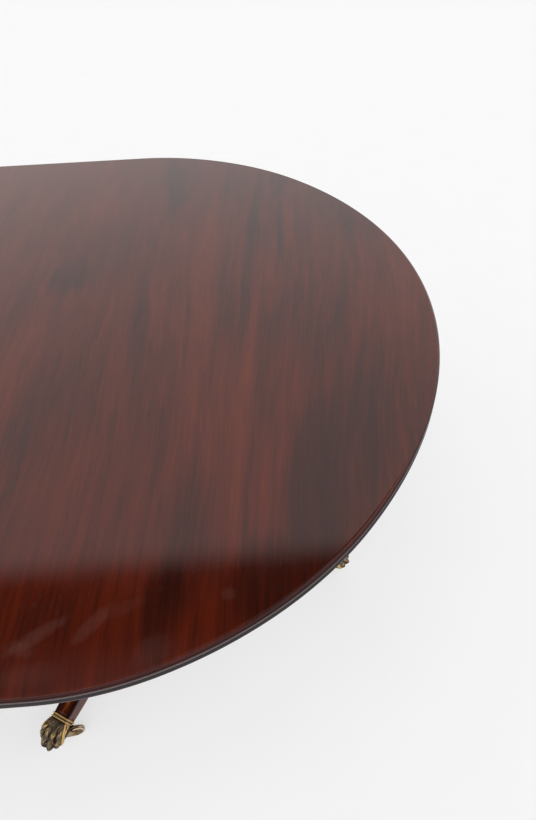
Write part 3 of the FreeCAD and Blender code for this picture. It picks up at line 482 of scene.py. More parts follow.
def tube_faces(rows, columns, flip=False):
    """Faces of a tube of closed rings with capped ends. flip turns them over."""
    faces = grid_faces(rows, columns, wrap=True)
    faces.append(tuple(range(columns - 1, -1, -1)))
    faces.append(tuple(range((rows - 1) * columns, rows * columns)))
    return [face[::-1] for face in faces] if flip else faces


def joined(parts):
    """Points, faces and attributes of several (points, faces, attributes) as one."""
    points, faces, attributes = [], [], {}
    count = 0
    for part_points, part_faces, part_attributes in parts:
        points.append(part_points)
        faces += [tuple(i + count for i in face) for face in part_faces]
        for key, values in part_attributes.items():
            attributes.setdefault(key, []).append(values)
        count += len(part_points)
    return np.concatenate(points), faces, {k: np.concatenate(v) for k, v in attributes.items()}


def turned(points, degrees, x=0.0):
    """Points turned about the vertical and moved along the table."""
    c, s = math.cos(math.radians(degrees)), math.sin(math.radians(degrees))
    turn = np.array([[c, -s, 0.0], [s, c, 0.0], [0.0, 0.0, 1.0]])
    return points @ turn.T + np.array([x, 0.0, 0.0])


# Legs

def leg_path():
    """The second radius, the two lengths and the root height of the leg's centreline."""
    root, slope, foot = LEG_ROOT_ANGLE, LEG_SLOPE_ANGLE, LEG_FOOT_ANGLE
    knee_run = LEG_KNEE_RADIUS * (math.sin(root) - math.sin(slope))
    knee_drop = LEG_KNEE_RADIUS * (math.cos(root) - math.cos(slope))
    sweep_radius = (FOOT_RADIUS - LEG_ROOT_RADIUS - knee_run) / (math.sin(foot) - math.sin(slope))
    sweep_drop = sweep_radius * (math.cos(foot) - math.cos(slope))
    return (
        sweep_radius, LEG_KNEE_RADIUS * (root - slope), sweep_radius * (foot - slope),
        FOOT_HEIGHT + sweep_drop + knee_drop,
    )


def leg_station(share):
    """The (x, z) point and heading of the leg's centreline at a share of its length."""
    sweep_radius, knee_length, sweep_length, root_z = leg_path()
    along = share * (knee_length + sweep_length)
    heading = LEG_ROOT_ANGLE - min(along, knee_length) / LEG_KNEE_RADIUS
    x = LEG_ROOT_RADIUS + LEG_KNEE_RADIUS * (math.sin(LEG_ROOT_ANGLE) - math.sin(heading))
    z = root_z + LEG_KNEE_RADIUS * (math.cos(heading) - math.cos(LEG_ROOT_ANGLE))
    if along > knee_length:
        heading = LEG_SLOPE_ANGLE + (along - knee_length) / sweep_radius
        x += sweep_radius * (math.sin(heading) - math.sin(LEG_SLOPE_ANGLE))
        z -= sweep_radius * (math.cos(heading) - math.cos(LEG_SLOPE_ANGLE))
    return x, z, heading


def corner(centre, radius, start, end, steps=4):
    """Points of a rounded corner, angles in degrees."""
    angles = np.radians(np.linspace(start, end, steps + 1))
    return [(centre[0] + radius * math.cos(a), centre[1] + radius * math.sin(a)) for a in angles]


def leg_outline(half_width, half_depth):
    """The leg's section as (across, rise, channel, edge): rounded edge beads and a sunk upper face."""
    r = LEG_ARRIS
    bead = LEG_EDGE_BEAD / 2
    crown = half_depth - bead * BEAD_FLATNESS
    right = [(p, 0.0, 0.0) for p in corner((half_width - r, r - half_depth), r, -90, 0)]
    right += [((half_width, rise), 0.0, 0.0) for rise in np.linspace(r - half_depth, crown, 8)[1:-1]]
    for a in np.radians(np.linspace(0, 180, 13)):
        point = (half_width - bead + bead * math.cos(a), crown + bead * BEAD_FLATNESS * math.sin(a))
        right.append((point, 0.0, 1.0))
    floor = half_depth - LEG_CHANNEL_DEPTH
    inner = half_width - 2 * bead
    right.append(((inner - 0.0002, floor), 0.0, 0.9))
    for across in np.linspace(inner - 0.0012, 0.0, 7):
        right.append(((across, floor), math.exp(-(across / (LEG_RUBBED_SHARE * half_width)) ** 2), 0.35))
    left = [((-p[0], p[1]), channel, edge) for p, channel, edge in reversed(right[:-1])]
    bottom = [((across, -half_depth), 0.0, 0.0) for across in np.linspace(r - half_width, half_width - r, 5)[1:-1]]
    return right + left + bottom


def leg_mesh():
    """Points, faces and attributes of one leg along +X, coped to the drum."""
    shares = np.linspace(0.0, 1.0, LEG_STATIONS)
    rings, marks = [], []
    for share in shares:
        x, z, heading = leg_station(share)
        half_width = (LEG_WIDTHS[0] + share * (LEG_WIDTHS[1] - LEG_WIDTHS[0])) / 2
        half_depth = (LEG_DEPTHS[0] + share * (LEG_DEPTHS[1] - LEG_DEPTHS[0])) / 2
        outline = leg_outline(half_width, half_depth)
        rings.append([
            (x - rise * math.sin(heading), across, z + rise * math.cos(heading)) for (across, rise), _, _ in outline
        ])
        marks.append([(channel, edge, share) for _, channel, edge in outline])
    rings, marks = np.array(rings), np.array(marks)
    radius = np.hypot(rings[:, :, 0], rings[:, :, 1])
    coped = rings.copy()
    for column in range(rings.shape[1]):
        start = float(np.interp(DRUM_RADIUS, radius[:, column], shares))
        wanted = start + shares * (1.0 - start)
        for axis in range(3):
            coped[:, column, axis] = np.interp(wanted, shares, rings[:, column, axis])
    count, size = coped.shape[:2]
    points = coped.reshape(-1, 3)
    c, s = math.cos(LEG_GRAIN_ANGLE), math.sin(LEG_GRAIN_ANGLE)
    level = np.stack([
        points[:, 0] * c + points[:, 2] * s, points[:, 1], -points[:, 0] * s + points[:, 2] * c,
    ], 1)
    flat = marks.reshape(-1, 3)
    fade = np.clip(flat[:, 2] * LEG_RUBBED_FADE, 0.0, 1.0)
    return points, tube_faces(count, size), {"local": level, "channel": flat[:, 0] * fade, "edge": flat[:, 1]}


# Reeded edges of the tops

def end_edge():
    """The east end's edge from the back joint round to the front one, as x, y and the outward direction."""
    side_turn, full_turn = math.radians(END_SIDE_TURN), math.radians(END_SIDE_TURN + END_CORNER_TURN)
    growth = END_CORNER_RADIUS - END_SIDE_RADIUS
    side_y = HALF_WIDTH - END_SIDE_RADIUS
    corner_x, corner_y = -growth * math.sin(side_turn), side_y - growth * math.cos(side_turn)
    to_axis = corner_y / math.cos(full_turn)
    end_x, end_radius = corner_x - to_axis * math.sin(full_turn), END_CORNER_RADIUS + to_axis
    turns = (90.0, 90.0 - END_SIDE_TURN, 90.0 - END_SIDE_TURN - END_CORNER_TURN, 0.0)
    centres = ((0.0, side_y, END_SIDE_RADIUS), (corner_x, corner_y, END_CORNER_RADIUS), (end_x, 0.0, end_radius))
    back = [(END_START + EDGE_SHORT, HALF_WIDTH, 0.0, 1.0)]
    for (x, y, radius), start, stop in zip(centres, turns, turns[1:]):
        for angle in np.radians(np.linspace(start, stop, END_ARC_STEPS, endpoint=False)):
            c, s = math.cos(angle), math.sin(angle)
            back.append((CURVE_START + x + radius * c, y + radius * s, c, s))
    tip = [(CURVE_START + end_x + end_radius, 0.0, 1.0, 0.0)]
    return np.array(back + tip + [(x, -y, c, -s) for x, y, c, s in reversed(back)])


def straight_edge(start, stop, way):
    """A long edge between two joints. way is 1 at the back and -1 at the front."""
    y = way * HALF_WIDTH
    ends = np.array([(start + EDGE_SHORT, y, 0.0, way), (stop - EDGE_SHORT, y, 0.0, way)])
    return ends[::way]


def reed_profile():
    """The (inset, z, angle) loop of the two reeds, closed a little inside the board."""
    meet = math.acos((REED_RADIUS - REED_GROOVE) / REED_RADIUS)
    reach = REED_RADIUS + EDGE_PROUD
    loop = []
    for z, start, stop in (
        (TABLE_HEIGHT - REED_RADIUS, math.pi / 2, -meet), (TABLE_HEIGHT - 3 * REED_RADIUS, meet, -math.pi / 2),
    ):
        for a in np.linspace(start, stop, REED_STEPS):
            loop.append((REED_RADIUS - reach * math.cos(a), z + reach * math.sin(a), a))
    inside = REED_RADIUS + EDGE_DEPTH
    return loop + [(inside, TABLE_HEIGHT - share * TOP_THICKNESS, math.pi) for share in (0.8, 0.2)]


def edge_mesh(edge):
    """Points, faces and normals of the reeds along an edge."""
    profile = reed_profile()
    points = np.array([(x - inset * nx, y - inset * ny, z) for x, y, nx, ny in edge for inset, z, _ in profile])
    normals = np.array([
        (nx * math.cos(a), ny * math.cos(a), math.sin(a)) for _, _, nx, ny in edge for _, _, a in profile
    ])
    return points, tube_faces(len(edge), len(profile), flip=True), {"normals": normals}


# Paws

def smooth_step(value, low, high):
    """A smooth step of an array between low and high."""
    t = np.clip((value - low) / (high - low), 0.0, 1.0)
    return t * t * (3.0 - 2.0 * t)


def hump(value, centre, half_width):
    """A rounded bump of height 1."""
    return np.exp(-((value - centre) / half_width) ** 2)


def along_leg_end(along, across, rise):
    """Points given along, across and above the leg's end."""
    c, s = math.cos(LEG_FOOT_ANGLE), math.sin(LEG_FOOT_ANGLE)
    return np.stack([FOOT_RADIUS + along * c - rise * s, across, FOOT_HEIGHT + along * s + rise * c], -1)


def rounded_square(half_width, half_depth, radius, steps=5):
    """The (across, rise) outline of a square with rounded corners, anticlockwise."""
    outline = []
    for sx, sy, start in ((1, 1, 0), (-1, 1, 90), (-1, -1, 180), (1, -1, 270)):
        centre = (sx * (half_width - radius), sy * (half_depth - radius))
        outline += corner(centre, radius, start, start + 90, steps)
    return np.array(outline)


# Collar of the paw: places along it, how far it stands proud, and its relief
COLLAR_HALF_WIDTH = 0.0164
COLLAR_HALF_DEPTH = 0.0156
COLLAR_CORNER = 0.0016
COLLAR_PROFILE = (
    (0.0000, -0.0012, 0.5), (0.0001, 0.0004, 0.8), (0.0005, 0.0011, 1.0), (0.0012, 0.00145, 1.0),
    (0.0018, 0.00145, 1.0), (0.0025, 0.0011, 1.0), (0.0029, 0.0003, 0.7), (0.0031, -0.0003, 0.45),
    (0.0041, -0.0005, 0.32), (0.0050, -0.0003, 0.45), (0.0052, 0.0003, 0.7), (0.0056, 0.0011, 1.0),
    (0.0063, 0.00145, 1.0), (0.0069, 0.00145, 1.0), (0.0076, 0.0011, 1.0), (0.0080, 0.0003, 0.7),
    (0.0082, -0.0009, 0.2),
)


def collar_mesh():
    """The two beads of the collar and the groove between them."""
    rings, relief = [], []
    for along, proud, mark in COLLAR_PROFILE:
        outline = rounded_square(COLLAR_HALF_WIDTH + proud, COLLAR_HALF_DEPTH + proud, COLLAR_CORNER)
        rings.append(along_leg_end(np.full(len(outline), along), outline[:, 0], outline[:, 1]))
        relief += [mark] * len(outline)
    faces = tube_faces(len(rings), len(rings[0]), flip=True)
    return np.concatenate(rings), faces, {"relief": np.array(relief)}


PAW_COLUMNS = 193
PAW_ROWS = 88
# Share of the paw's columns, from the middle out, that are its front; the others are its flat sides
TOE_SHARE = 0.62
WRIST_HALF_WIDTH = 0.0160
WRIST_RISE = 0.0146
WRIST_DEPTH = 0.0280
WRIST_START = 0.0078
TOE_HALF_WIDTH = 0.0242
TOE_TIP = 0.4164
TOE_CORNER = 0.3969
HEEL_RUN = 0.0389
TOE_RELIEF = 0.0046
KNUCKLE_RELIEF = 0.0026
CLAW_RELIEF = 0.0012
HAIR_RELIEF = 0.0014
RIDGE_RELIEF = 0.0011
HOLLOW_RELIEF = 0.0016


def paw_mesh():
    """A lion's paw along +X: a hairy wrist, four knuckled toes with claws, and flat sides with ridges."""
    t = np.linspace(-1.0, 1.0, PAW_COLUMNS)
    side = np.sign(t)
    size = np.abs(t)
    in_front = size < TOE_SHARE
    front = np.clip(size / TOE_SHARE, 0.0, 1.0)
    flank = np.clip((size - TOE_SHARE) / (1.0 - TOE_SHARE), 0.0, 1.0)
    # Upper ends on the collar's face, over its top and down both sides
    start_y = side * WRIST_HALF_WIDTH * np.where(in_front, front, 1.0)
    start_rise = np.where(in_front, WRIST_RISE, WRIST_RISE - WRIST_DEPTH * flank)
    start = along_leg_end(np.full_like(t, WRIST_START), start_y, start_rise)
    # Lower ends on the sole's outline, round the toes and back along both sides
    toe_gap = 1.0 - np.abs(np.sin(np.pi * (t / 0.31 + 2.0))) ** 0.4
    toe_y = side * TOE_HALF_WIDTH * np.where(in_front, front ** 0.7, 1.0 - 0.20 * flank ** 2)
    toe_y -= 0.0024 * (1.0 - flank)
    toe_x = np.where(in_front, TOE_TIP - (TOE_TIP - TOE_CORNER) * front ** 1.5, TOE_CORNER - HEEL_RUN * flank)
    toe_x -= 0.0035 * np.sqrt(np.clip(-t / TOE_SHARE, 0.0, 1.0)) * (1.0 - flank)
    toe_x -= np.where(size < 0.60, 0.0026 * toe_gap, 0.0)
    end = np.stack([toe_x, toe_y, np.full_like(t, SOLE_HEIGHT)], -1)
    lead = np.stack([
        np.where(in_front, 0.0200 - 0.005 * front ** 2, 0.0140 * (1.0 - flank) ** 1.5 + 0.001),
        side * 0.0060 * np.where(in_front, front, 1.0 - 0.6 * flank),
        np.where(in_front, 0.0004, 0.0004 - 0.004 * flank),
    ], -1)
    rise = np.stack([
        np.where(in_front, -0.0010, -0.0010 * (1.0 - flank)),
        side * 0.0055 * np.where(in_front, front, 1.0 - flank),
        np.where(in_front, 0.0165, 0.0165 - 0.0125 * flank),
    ], -1)
    u = np.linspace(0.0, 1.0, PAW_ROWS)[:, None, None]
    base = (1 - u) ** 3 * start + 3 * u * (1 - u) ** 2 * (start + lead)
    base = base + 3 * u ** 2 * (1 - u) * (end + rise) + u ** 3 * end
    step_u = np.gradient(base, axis=0)
    step_t = np.gradient(base, axis=1)
    normal = np.cross(step_u, step_t)
    normal /= np.linalg.norm(normal, axis=2)[:, :, None] + 1e-12
    grid_u, grid_t = np.meshgrid(u[:, 0, 0], t, indexing="ij")
    grid_size = np.abs(grid_t)
    on_front = 1.0 - smooth_step(grid_size, 0.55, 0.63)
    # Four toes across the front, each with two knuckles and a claw
    lane = grid_t / TOE_SHARE * 2.0
    toe_wave = np.abs(np.sin(np.pi * (lane + 2.0)))
    crown = toe_wave ** 0.55
    grown = smooth_step(grid_u, 0.16, 0.44)
    knuckles = 0.9 * hump(grid_u, 0.40, 0.12) + 0.65 * hump(grid_u, 0.72, 0.11) - 0.25 * hump(grid_u, 0.565, 0.06)
    shallow = 1.0 - 0.6 * smooth_step(grid_u, 0.68, 0.95)
    lobes = grown * (crown - 1.0) * shallow * TOE_RELIEF + knuckles * crown * KNUCKLE_RELIEF
    claw = hump(toe_wave, 1.0, 0.35) * smooth_step(grid_u, 0.80, 0.90) * (1.0 - smooth_step(grid_u, 0.96, 1.0))
    lobes += claw * CLAW_RELIEF - smooth_step(grid_u, 0.80, 0.86) * (1.0 - toe_wave ** 2) * 0.0005
    # Strands of hair that run down the paw
    flow = grid_t * 17.0 + 0.7 * np.sin(grid_u * 9.0 + grid_t * 14.0) + 0.5 * np.sin(grid_u * 17.0 - grid_t * 31.0)
    strand = 0.5 + 0.5 * np.sin(flow * np.pi)
    tuft = 0.5 + 0.5 * np.sin(grid_u * 26.0 + 4.0 * np.sin(grid_t * 11.0) + 2.5 * np.sin(grid_t * 29.0))
    hairy = smooth_step(grid_u, 0.03, 0.12) * (1.0 - smooth_step(grid_u, 0.78, 0.86))
    hair = hairy * (0.75 * strand + 0.25 * strand * tuft - 0.5)
    # Ridges along the edges of the flat sides, a drop-shaped hollow in each, and a sunk part behind the rear ridge
    # that is painted dark as shade
    edge_front = hump(grid_size, 0.645, 0.022)
    rear = 0.94 - 0.27 * np.clip(grid_u / 0.55, 0.0, 1.0) ** 0.75
    edge_rear = hump(grid_size, rear, 0.022)
    behind = smooth_step(grid_size, rear + 0.02, rear + 0.05)
    drop = hump(grid_size, 0.755, 0.026) * hump(grid_u, 0.22, 0.10)
    ridge = np.clip(edge_front + edge_rear, 0.0, 1.0)
    ridge = ridge * smooth_step(grid_u, 0.02, 0.08) * (1.0 - smooth_step(grid_u, 0.9, 1.0))
    height = on_front * (lobes + hair * HAIR_RELIEF) + ridge * RIDGE_RELIEF
    height = height - behind * HOLLOW_RELIEF - drop * HOLLOW_RELIEF
    height *= smooth_step(grid_u, 0.0, 0.05)
    surface = base + normal * height[:, :, None]
    surface[:, :, 2] = np.maximum(surface[:, :, 2], SOLE_HEIGHT)
    front_relief = 0.10 + 0.74 * strand * hairy * (0.35 + 0.65 * tuft) + 0.44 * knuckles * crown ** 2
    front_relief += 0.25 * claw - 0.34 * grown * (1.0 - crown)
    # Painted shade: the side behind the rear ridge is darkened
    side_relief = 0.84 - 0.9 * drop - 0.78 * behind
    relief = np.clip(on_front * front_relief + (1.0 - on_front) * side_relief + ridge * 0.9, 0.0, 1.0)
    points = surface.reshape(-1, 3)
    faces = [face[::-1] for face in grid_faces(PAW_ROWS, PAW_COLUMNS)]
    last = (PAW_ROWS - 1) * PAW_COLUMNS
    left_edge = [r * PAW_COLUMNS for r in range(PAW_ROWS)]
    right_edge = [r * PAW_COLUMNS + PAW_COLUMNS - 1 for r in range(PAW_ROWS)]
    faces.append(tuple(range(PAW_COLUMNS)))
    faces.append(tuple(last + i for i in range(PAW_COLUMNS - 1, -1, -1)))
    for r in range(PAW_ROWS - 1):
        faces.append((left_edge[r], right_edge[r], right_edge[r + 1], left_edge[r + 1])[::-1])
    return points, faces, {"relief": relief.ravel()}


# Castor wheels

def wheel_mesh():
    """A wheel about Y at the origin: a tread with two grooves, rounded shoulders, a dished side and a hub."""
    # Radius and place along the axle from the bore to the tread, and the relief there
    half = [
        (0.00256, 0.0049), (0.0058, 0.0049), (0.0064, 0.0047), (0.0066, 0.0040), (0.0072, 0.0037), (0.0098, 0.0037),
        (0.0106, 0.0039), (0.0111, 0.0044), (0.0120, 0.0045), (0.0132, 0.0043), (0.0142, 0.0037), (0.0147, 0.0031),
        (0.0149, 0.0026), (0.0148, 0.0022), (0.0140, 0.0020), (0.0140, 0.0017), (0.0148, 0.0014), (0.0150, 0.0008),
    ]
    marks = [0.5, 0.8, 0.8, 0.3, 0.1, 0.25, 0.4, 0.8, 0.9, 0.9, 0.9, 0.9, 0.8, 0.5, 0.0, 0.0, 0.5, 0.85]
    profile = half + [(r, -y) for r, y in reversed(half)]
    relief = marks + marks[::-1]
    turns = WHEEL_STEPS
    angles = np.linspace(0.0, 2.0 * math.pi, turns, endpoint=False)
    points = np.array([(r * math.cos(a), y, r * math.sin(a)) for r, y in profile for a in angles])
    faces = grid_faces(len(profile), turns, wrap=True)
    last = (len(profile) - 1) * turns
    faces += [(last + i, last + (i + 1) % turns, (i + 1) % turns, i) for i in range(turns)]
    return points, faces, {"relief": np.repeat(relief, turns)}


# Finishes of the carried nodes

# Streaks of the photographed top: x from the start of the curve, y, half width, half length, and how dark.
# A minus makes one lighter.
STREAKS = tuple(
    (CURVE_START + x, *others) for x, *others in (
        (0.080, 0.40, 0.020, 0.16, 0.14),
        (0.219, 0.14, 0.011, 0.28, 0.24),
        (0.272, 0.19, 0.007, 0.13, 0.20),
        (-0.072, 0.095, 0.035, 0.06, 0.22),
        (0.049, -0.05, 0.016, 0.16, 0.16),
        (0.118, -0.065, 0.005, 0.11, 0.22),
        (0.266, -0.377, 0.045, 0.17, 0.20),
        (0.345, -0.24, 0.030, 0.16, 0.18),
        (0.130, -0.405, 0.035, 0.09, 0.26),
        (0.117, -0.495, 0.026, 0.055, 0.26),
        (0.205, -0.468, 0.042, 0.05, 0.22),
        (0.012, -0.490, 0.022, 0.04, 0.12),
        (0.160, -0.490, 0.034, 0.07, 0.15),
        (0.020, -0.250, 0.060, 0.16, -0.08),
        (0.252, 0.055, 0.014, 0.10, -0.15),
        (0.150, 0.240, 0.140, 0.16, -0.07),
        (0.193, -0.37, 0.006, 0.10, 0.14),
        (0.327, -0.10, 0.012, 0.20, 0.10),
        (0.415, 0.09, 0.015, 0.12, 0.10),
        (0.200, -0.15, 0.016, 0.30, -0.16),
        (0.212, -0.37, 0.010, 0.12, -0.14),
        (0.159, 0.215, 0.020, 0.15, -0.12),
        (0.386, 0.034, 0.016, 0.14, -0.08),
        (0.135, 0.00, 0.026, 0.26, -0.20),
        (0.290, 0.26, 0.012, 0.14, -0.18),
        (-0.110, -0.10, 0.030, 0.16, -0.14),
    )
)

# Dull smears: x from the start of the curve, y, half length, half width, turn in degrees, and strength
SMEARS = tuple(
    (CURVE_START + x, *others) for x, *others in (
        (0.0010, -0.5063, 0.0280, 0.0066, 33.0, 0.22),
        (-0.0110, -0.5170, 0.0130, 0.0070, -18.0, 0.16),
        (0.0481, -0.4987, 0.0220, 0.0066, 49.0, 0.20),
        (0.0743, -0.4860, 0.0200, 0.0065, 24.0, 0.08),
        (0.1024, -0.5275, 0.0180, 0.0130, 31.0, 0.13),
        (0.0007, -0.5399, 0.0260, 0.0090, 4.0, 0.09),
        (0.1688, -0.4795, 0.0070, 0.0060, 0.0, 0.14),
    )
)

top_woods = {
    "east_end_top": mahogany("mahogany_east_end", "Y", 1.0, streaks=STREAKS, smears=SMEARS, tint=rim_tint),
    "east_leaf": mahogany("mahogany_east_leaf", "Y", 2.3, tint=rim_tint),
    "centre_top": mahogany("mahogany_centre", "Y", 3.1, tint=rim_tint),
    "west_leaf": mahogany("mahogany_west_leaf", "Y", 4.7, tint=rim_tint),
    "west_end_top": mahogany("mahogany_west_end", "Y", 5.9, tint=rim_tint),
}
column_wood = mahogany("mahogany_column", "Z", 6.4)
bearer_wood = mahogany("mahogany_bearer", "X", 7.2, dull=0.35)
leg_wood = mahogany("mahogany_leg", "X", 8.8, source="local", tint=leg_tint)
paw_metal = relief_brass("paw_brass", (0.70, 0.47, 0.17), (0.20, 0.145, 0.092), (0.026, 0.018, 0.012))
wheel_metal = relief_brass("castor_wheel_brass", (0.68, 0.52, 0.36), (0.27, 0.20, 0.135), (0.020, 0.014, 0.010))
horn_metal = brass("castor_brass", (0.56, 0.40, 0.21), (0.34, 0.24, 0.13), (0.06, 0.043, 0.027), 0.30)
clip_metal = brass("clip_brass", (0.66, 0.47, 0.19), (0.48, 0.33, 0.13), (0.12, 0.08, 0.04), 0.26)
peg_finish = peg_wood()
screw_metal = iron()

FINISHES = (
    ("_column", column_wood), ("_block", bearer_wood), ("_bearers", bearer_wood), ("_legs", leg_wood),
    ("_paw_caps", paw_metal), ("_clip_keepers", clip_metal), ("_clip_guides", clip_metal), ("_screws", screw_metal),
    ("_pegs", peg_finish), ("_clip_front", clip_metal), ("_clip_back", clip_metal), ("_castor_horn_", horn_metal),
    ("_castor_wheel_", wheel_metal),
)


def finish_of(node):
    """The material of a carried node."""
    if node in top_woods:
        return top_woods[node]
    return next(material for part, material in FINISHES if part in node)


for node_name, node_object in NODES.items():
    material = finish_of(node_name)
    if not node_object.material_slots:
        node_object.data.materials.append(material)
    for material_slot in node_object.material_slots:
        material_slot.material = material

# Smooth reeds along the edges of the tops
edges = {
    "east_end_top": ("east_end", [end_edge()]),
    "west_end_top": ("west_end", [-end_edge()]),
    "centre_top": ("centre", [straight_edge(-CENTRE_STOP, CENTRE_STOP, way) for way in (1, -1)]),
    "east_leaf": ("east_leaf", [straight_edge(LEAF_START, LEAF_STOP, way) for way in (1, -1)]),
    "west_leaf": ("west_leaf", [straight_edge(-LEAF_STOP, -LEAF_START, way) for way in (1, -1)]),
}
for node_name, (body, lines) in edges.items():
    points, faces, attributes = joined([edge_mesh(edge) for edge in lines])
    piece = mesh_piece(f"{node_name}_reeds", points, faces, top_woods[node_name], **attributes)
    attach(piece, body)

# Dressed legs, paws and wheels
leg_parts, paw_parts = leg_mesh(), joined([collar_mesh(), paw_mesh()])
wheel_points, wheel_faces, wheel_marks = wheel_mesh()
for section, (pedestal_x, leg_angles) in SECTIONS.items():
    for kind, parts, material, slot_name in (
        ("legs", leg_parts, leg_wood, "mahogany"), ("paw_caps", paw_parts, paw_metal, "paw_brass"),
    ):
        copies = [(turned(parts[0], angle, pedestal_x), parts[1], parts[2]) for angle in leg_angles]
        points, faces, attributes = joined(copies)
        piece = mesh_piece(f"{section}_{kind}_carved", points, faces, material, attributes)
        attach(piece, section)
        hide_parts(f"{section}_{kind}")
    for number, angle in enumerate(leg_angles, 1):
        name = f"{CASTOR_SIDES[section]}_castor_wheel_{number}"
        wheel = mesh_piece(f"{name}_turned", wheel_points, wheel_faces, wheel_metal, wheel_marks)
        turn = math.radians(angle)
        trail = turn + CASTOR_TRAIL_TURN
        spot = Vector((
            pedestal_x + SWIVEL_RADIUS * math.cos(turn) + CASTOR_TRAIL * math.cos(trail),
            SWIVEL_RADIUS * math.sin(turn) + CASTOR_TRAIL * math.sin(trail), WHEEL_RADIUS,
        ))
        wheel.matrix_world = Matrix.Translation(spot) @ Matrix.Rotation(trail, 4, "Z")
        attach(wheel, name)
        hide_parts(name)


# Floor, light and camera

FLOOR_SIZE = 40.0
FLOOR_GLOW = 0.6
FLOOR_STOPS = ((0.3, (0.915, 0.915, 0.92)), (0.7, (0.94, 0.94, 0.94)))
FLOOR_GLOW_COLOUR = (0.945, 0.945, 0.948, 1.0)
BACKDROP_COLOUR = (0.95, 0.95, 0.955, 1.0)
# Steepness of the mirrored rays at which the white walls end, and at which the light overhead starts
WALL_EDGE = (1.46, 1.63)
WALL_LIGHT = 1.0
CEILING_LIGHT = 0.02
ZENITH_EDGE = (1.95, 2.45)
ZENITH_LIGHT = 0.22
AMBIENT_LIGHT = 0.36


def floor():
    """A pale floor that only shows from above, with soft shadows."""
    material, tree = new_material("floor")
    vector = combine(tree, *coordinates(tree, "Object"))
    mottle = noise(tree, vector, 5.0, 5.0, 0.6)
    inputs = {"Base Color": ramp(tree, mottle, FLOOR_STOPS), "Roughness": 0.75, "Specular IOR Level": 0.2}
    shader = add(tree, "ShaderNodeBsdfPrincipled", inputs).outputs[0]
    seen = add(tree, "ShaderNodeLightPath").outputs["Is Camera Ray"]
    glow = add(tree, "ShaderNodeEmission", {0: FLOOR_GLOW_COLOUR, 1: 1.0}).outputs[0]
    lit = calc(tree, "MULTIPLY", seen, FLOOR_GLOW)
    pale = add(tree, "ShaderNodeMixShader", {0: lit, 1: shader, 2: glow}).outputs[0]
    clear = add(tree, "ShaderNodeBsdfTransparent").outputs[0]
    under = add(tree, "ShaderNodeNewGeometry").outputs["Backfacing"]
    hidden = calc(tree, "MULTIPLY", seen, under)
    both = add(tree, "ShaderNodeMixShader", {0: hidden, 1: pale, 2: clear})
    add(tree, "ShaderNodeOutputMaterial", {0: both.outputs[0]})
    half = FLOOR_SIZE / 2
    corners = [(-half, -half, 0.0), (half, -half, 0.0), (half, half, 0.0), (-half, half, 0.0)]
    mesh_piece("floor", corners, [(0, 1, 2, 3)], material, smooth=False)


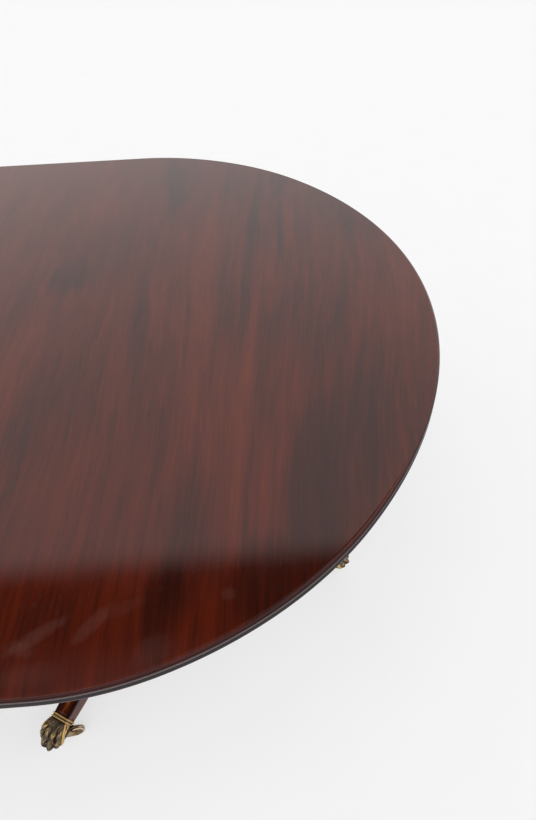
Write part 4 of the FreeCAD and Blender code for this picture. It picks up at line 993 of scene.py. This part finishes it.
def world():
    """Even light, a plain white backdrop for the camera, and white walls under a dark ceiling for reflections."""
    made = bpy.data.worlds.new("studio")
    SCENE.world = made
    made.use_nodes = True
    tree = made.node_tree
    tree.nodes.clear()
    direction = add(tree, "ShaderNodeTexCoord").outputs["Generated"]
    x, y, z = add(tree, "ShaderNodeSeparateXYZ", {0: direction}).outputs
    level = calc(tree, "MAXIMUM", calc(tree, "ABSOLUTE", x), calc(tree, "ABSOLUTE", y))
    steep = calc(tree, "DIVIDE", z, calc(tree, "MAXIMUM", level, 0.001))
    mirrored = ease(tree, steep, *WALL_EDGE, WALL_LIGHT, CEILING_LIGHT)
    mirrored = calc(tree, "ADD", mirrored, ease(tree, steep, *ZENITH_EDGE, 0.0, ZENITH_LIGHT))
    path = add(tree, "ShaderNodeLightPath").outputs
    strength = add(tree, "ShaderNodeMix", {0: path["Is Glossy Ray"], 2: AMBIENT_LIGHT, 3: mirrored}).outputs[0]
    room = add(tree, "ShaderNodeBackground", {0: (1.0, 1.0, 1.0, 1.0), 1: strength})
    backdrop = add(tree, "ShaderNodeBackground", {0: BACKDROP_COLOUR, 1: 1.0})
    both = add(tree, "ShaderNodeMixShader", {0: path["Is Camera Ray"], 1: room.outputs[0], 2: backdrop.outputs[0]})
    add(tree, "ShaderNodeOutputWorld", {0: both.outputs[0]})


# Lamps: name, bearing, elevation, share of the light on the floor, and spread, in degrees
LAMPS = (
    ("front_left", -55.0, 34.0, 0.24, 80.0),
    ("front_right", 60.0, 34.0, 0.22, 80.0),
    ("front_high", 0.0, 62.0, 0.20, 50.0),
    ("back_fill", 200.0, 45.0, 0.03, 60.0),
)


def far_light(name, bearing, elevation, share, spread):
    """A soft far lamp that reflections don't show. Bearing 0 is the front, 90 the right."""
    lamp = bpy.data.lights.new(name, "SUN")
    lamp.energy = share * math.pi / math.sin(math.radians(elevation))
    lamp.angle = math.radians(spread)
    item = bpy.data.objects.new(name, lamp)
    turn, lift = math.radians(bearing), math.radians(elevation)
    back = Vector((math.sin(turn) * math.cos(lift), -math.cos(turn) * math.cos(lift), math.sin(lift)))
    item.rotation_mode = "QUATERNION"
    item.rotation_quaternion = (-back).to_track_quat("-Z", "Y")
    item.visible_glossy = False
    SCENE.collection.objects.link(item)


CAMERA_PLACE = (1.63272, -0.76451, 1.26033)
CAMERA_RIGHT = (0.997547, -0.062184, -0.032135)
CAMERA_UP = (0.066205, 0.689175, 0.721564)
CAMERA_FORWARD = (0.022723, 0.721922, -0.691601)
FOCAL_PIXELS = 607.760
LONG_SIDE_PIXELS = 820


def camera():
    """The photograph's camera."""
    lens = bpy.data.cameras.new("camera")
    lens.sensor_width = 36.0
    lens.lens = FOCAL_PIXELS / LONG_SIDE_PIXELS * lens.sensor_width
    lens.clip_start, lens.clip_end = 0.01, 200.0
    item = bpy.data.objects.new("camera", lens)
    rows = zip(CAMERA_RIGHT, CAMERA_UP, (-v for v in CAMERA_FORWARD), CAMERA_PLACE)
    item.matrix_world = Matrix([list(row) for row in rows] + [[0.0, 0.0, 0.0, 1.0]])
    SCENE.collection.objects.link(item)
    SCENE.camera = item


floor()
world()
for lamp_settings in LAMPS:
    far_light(*lamp_settings)
camera()
SCENE.view_settings.view_transform = "Standard"
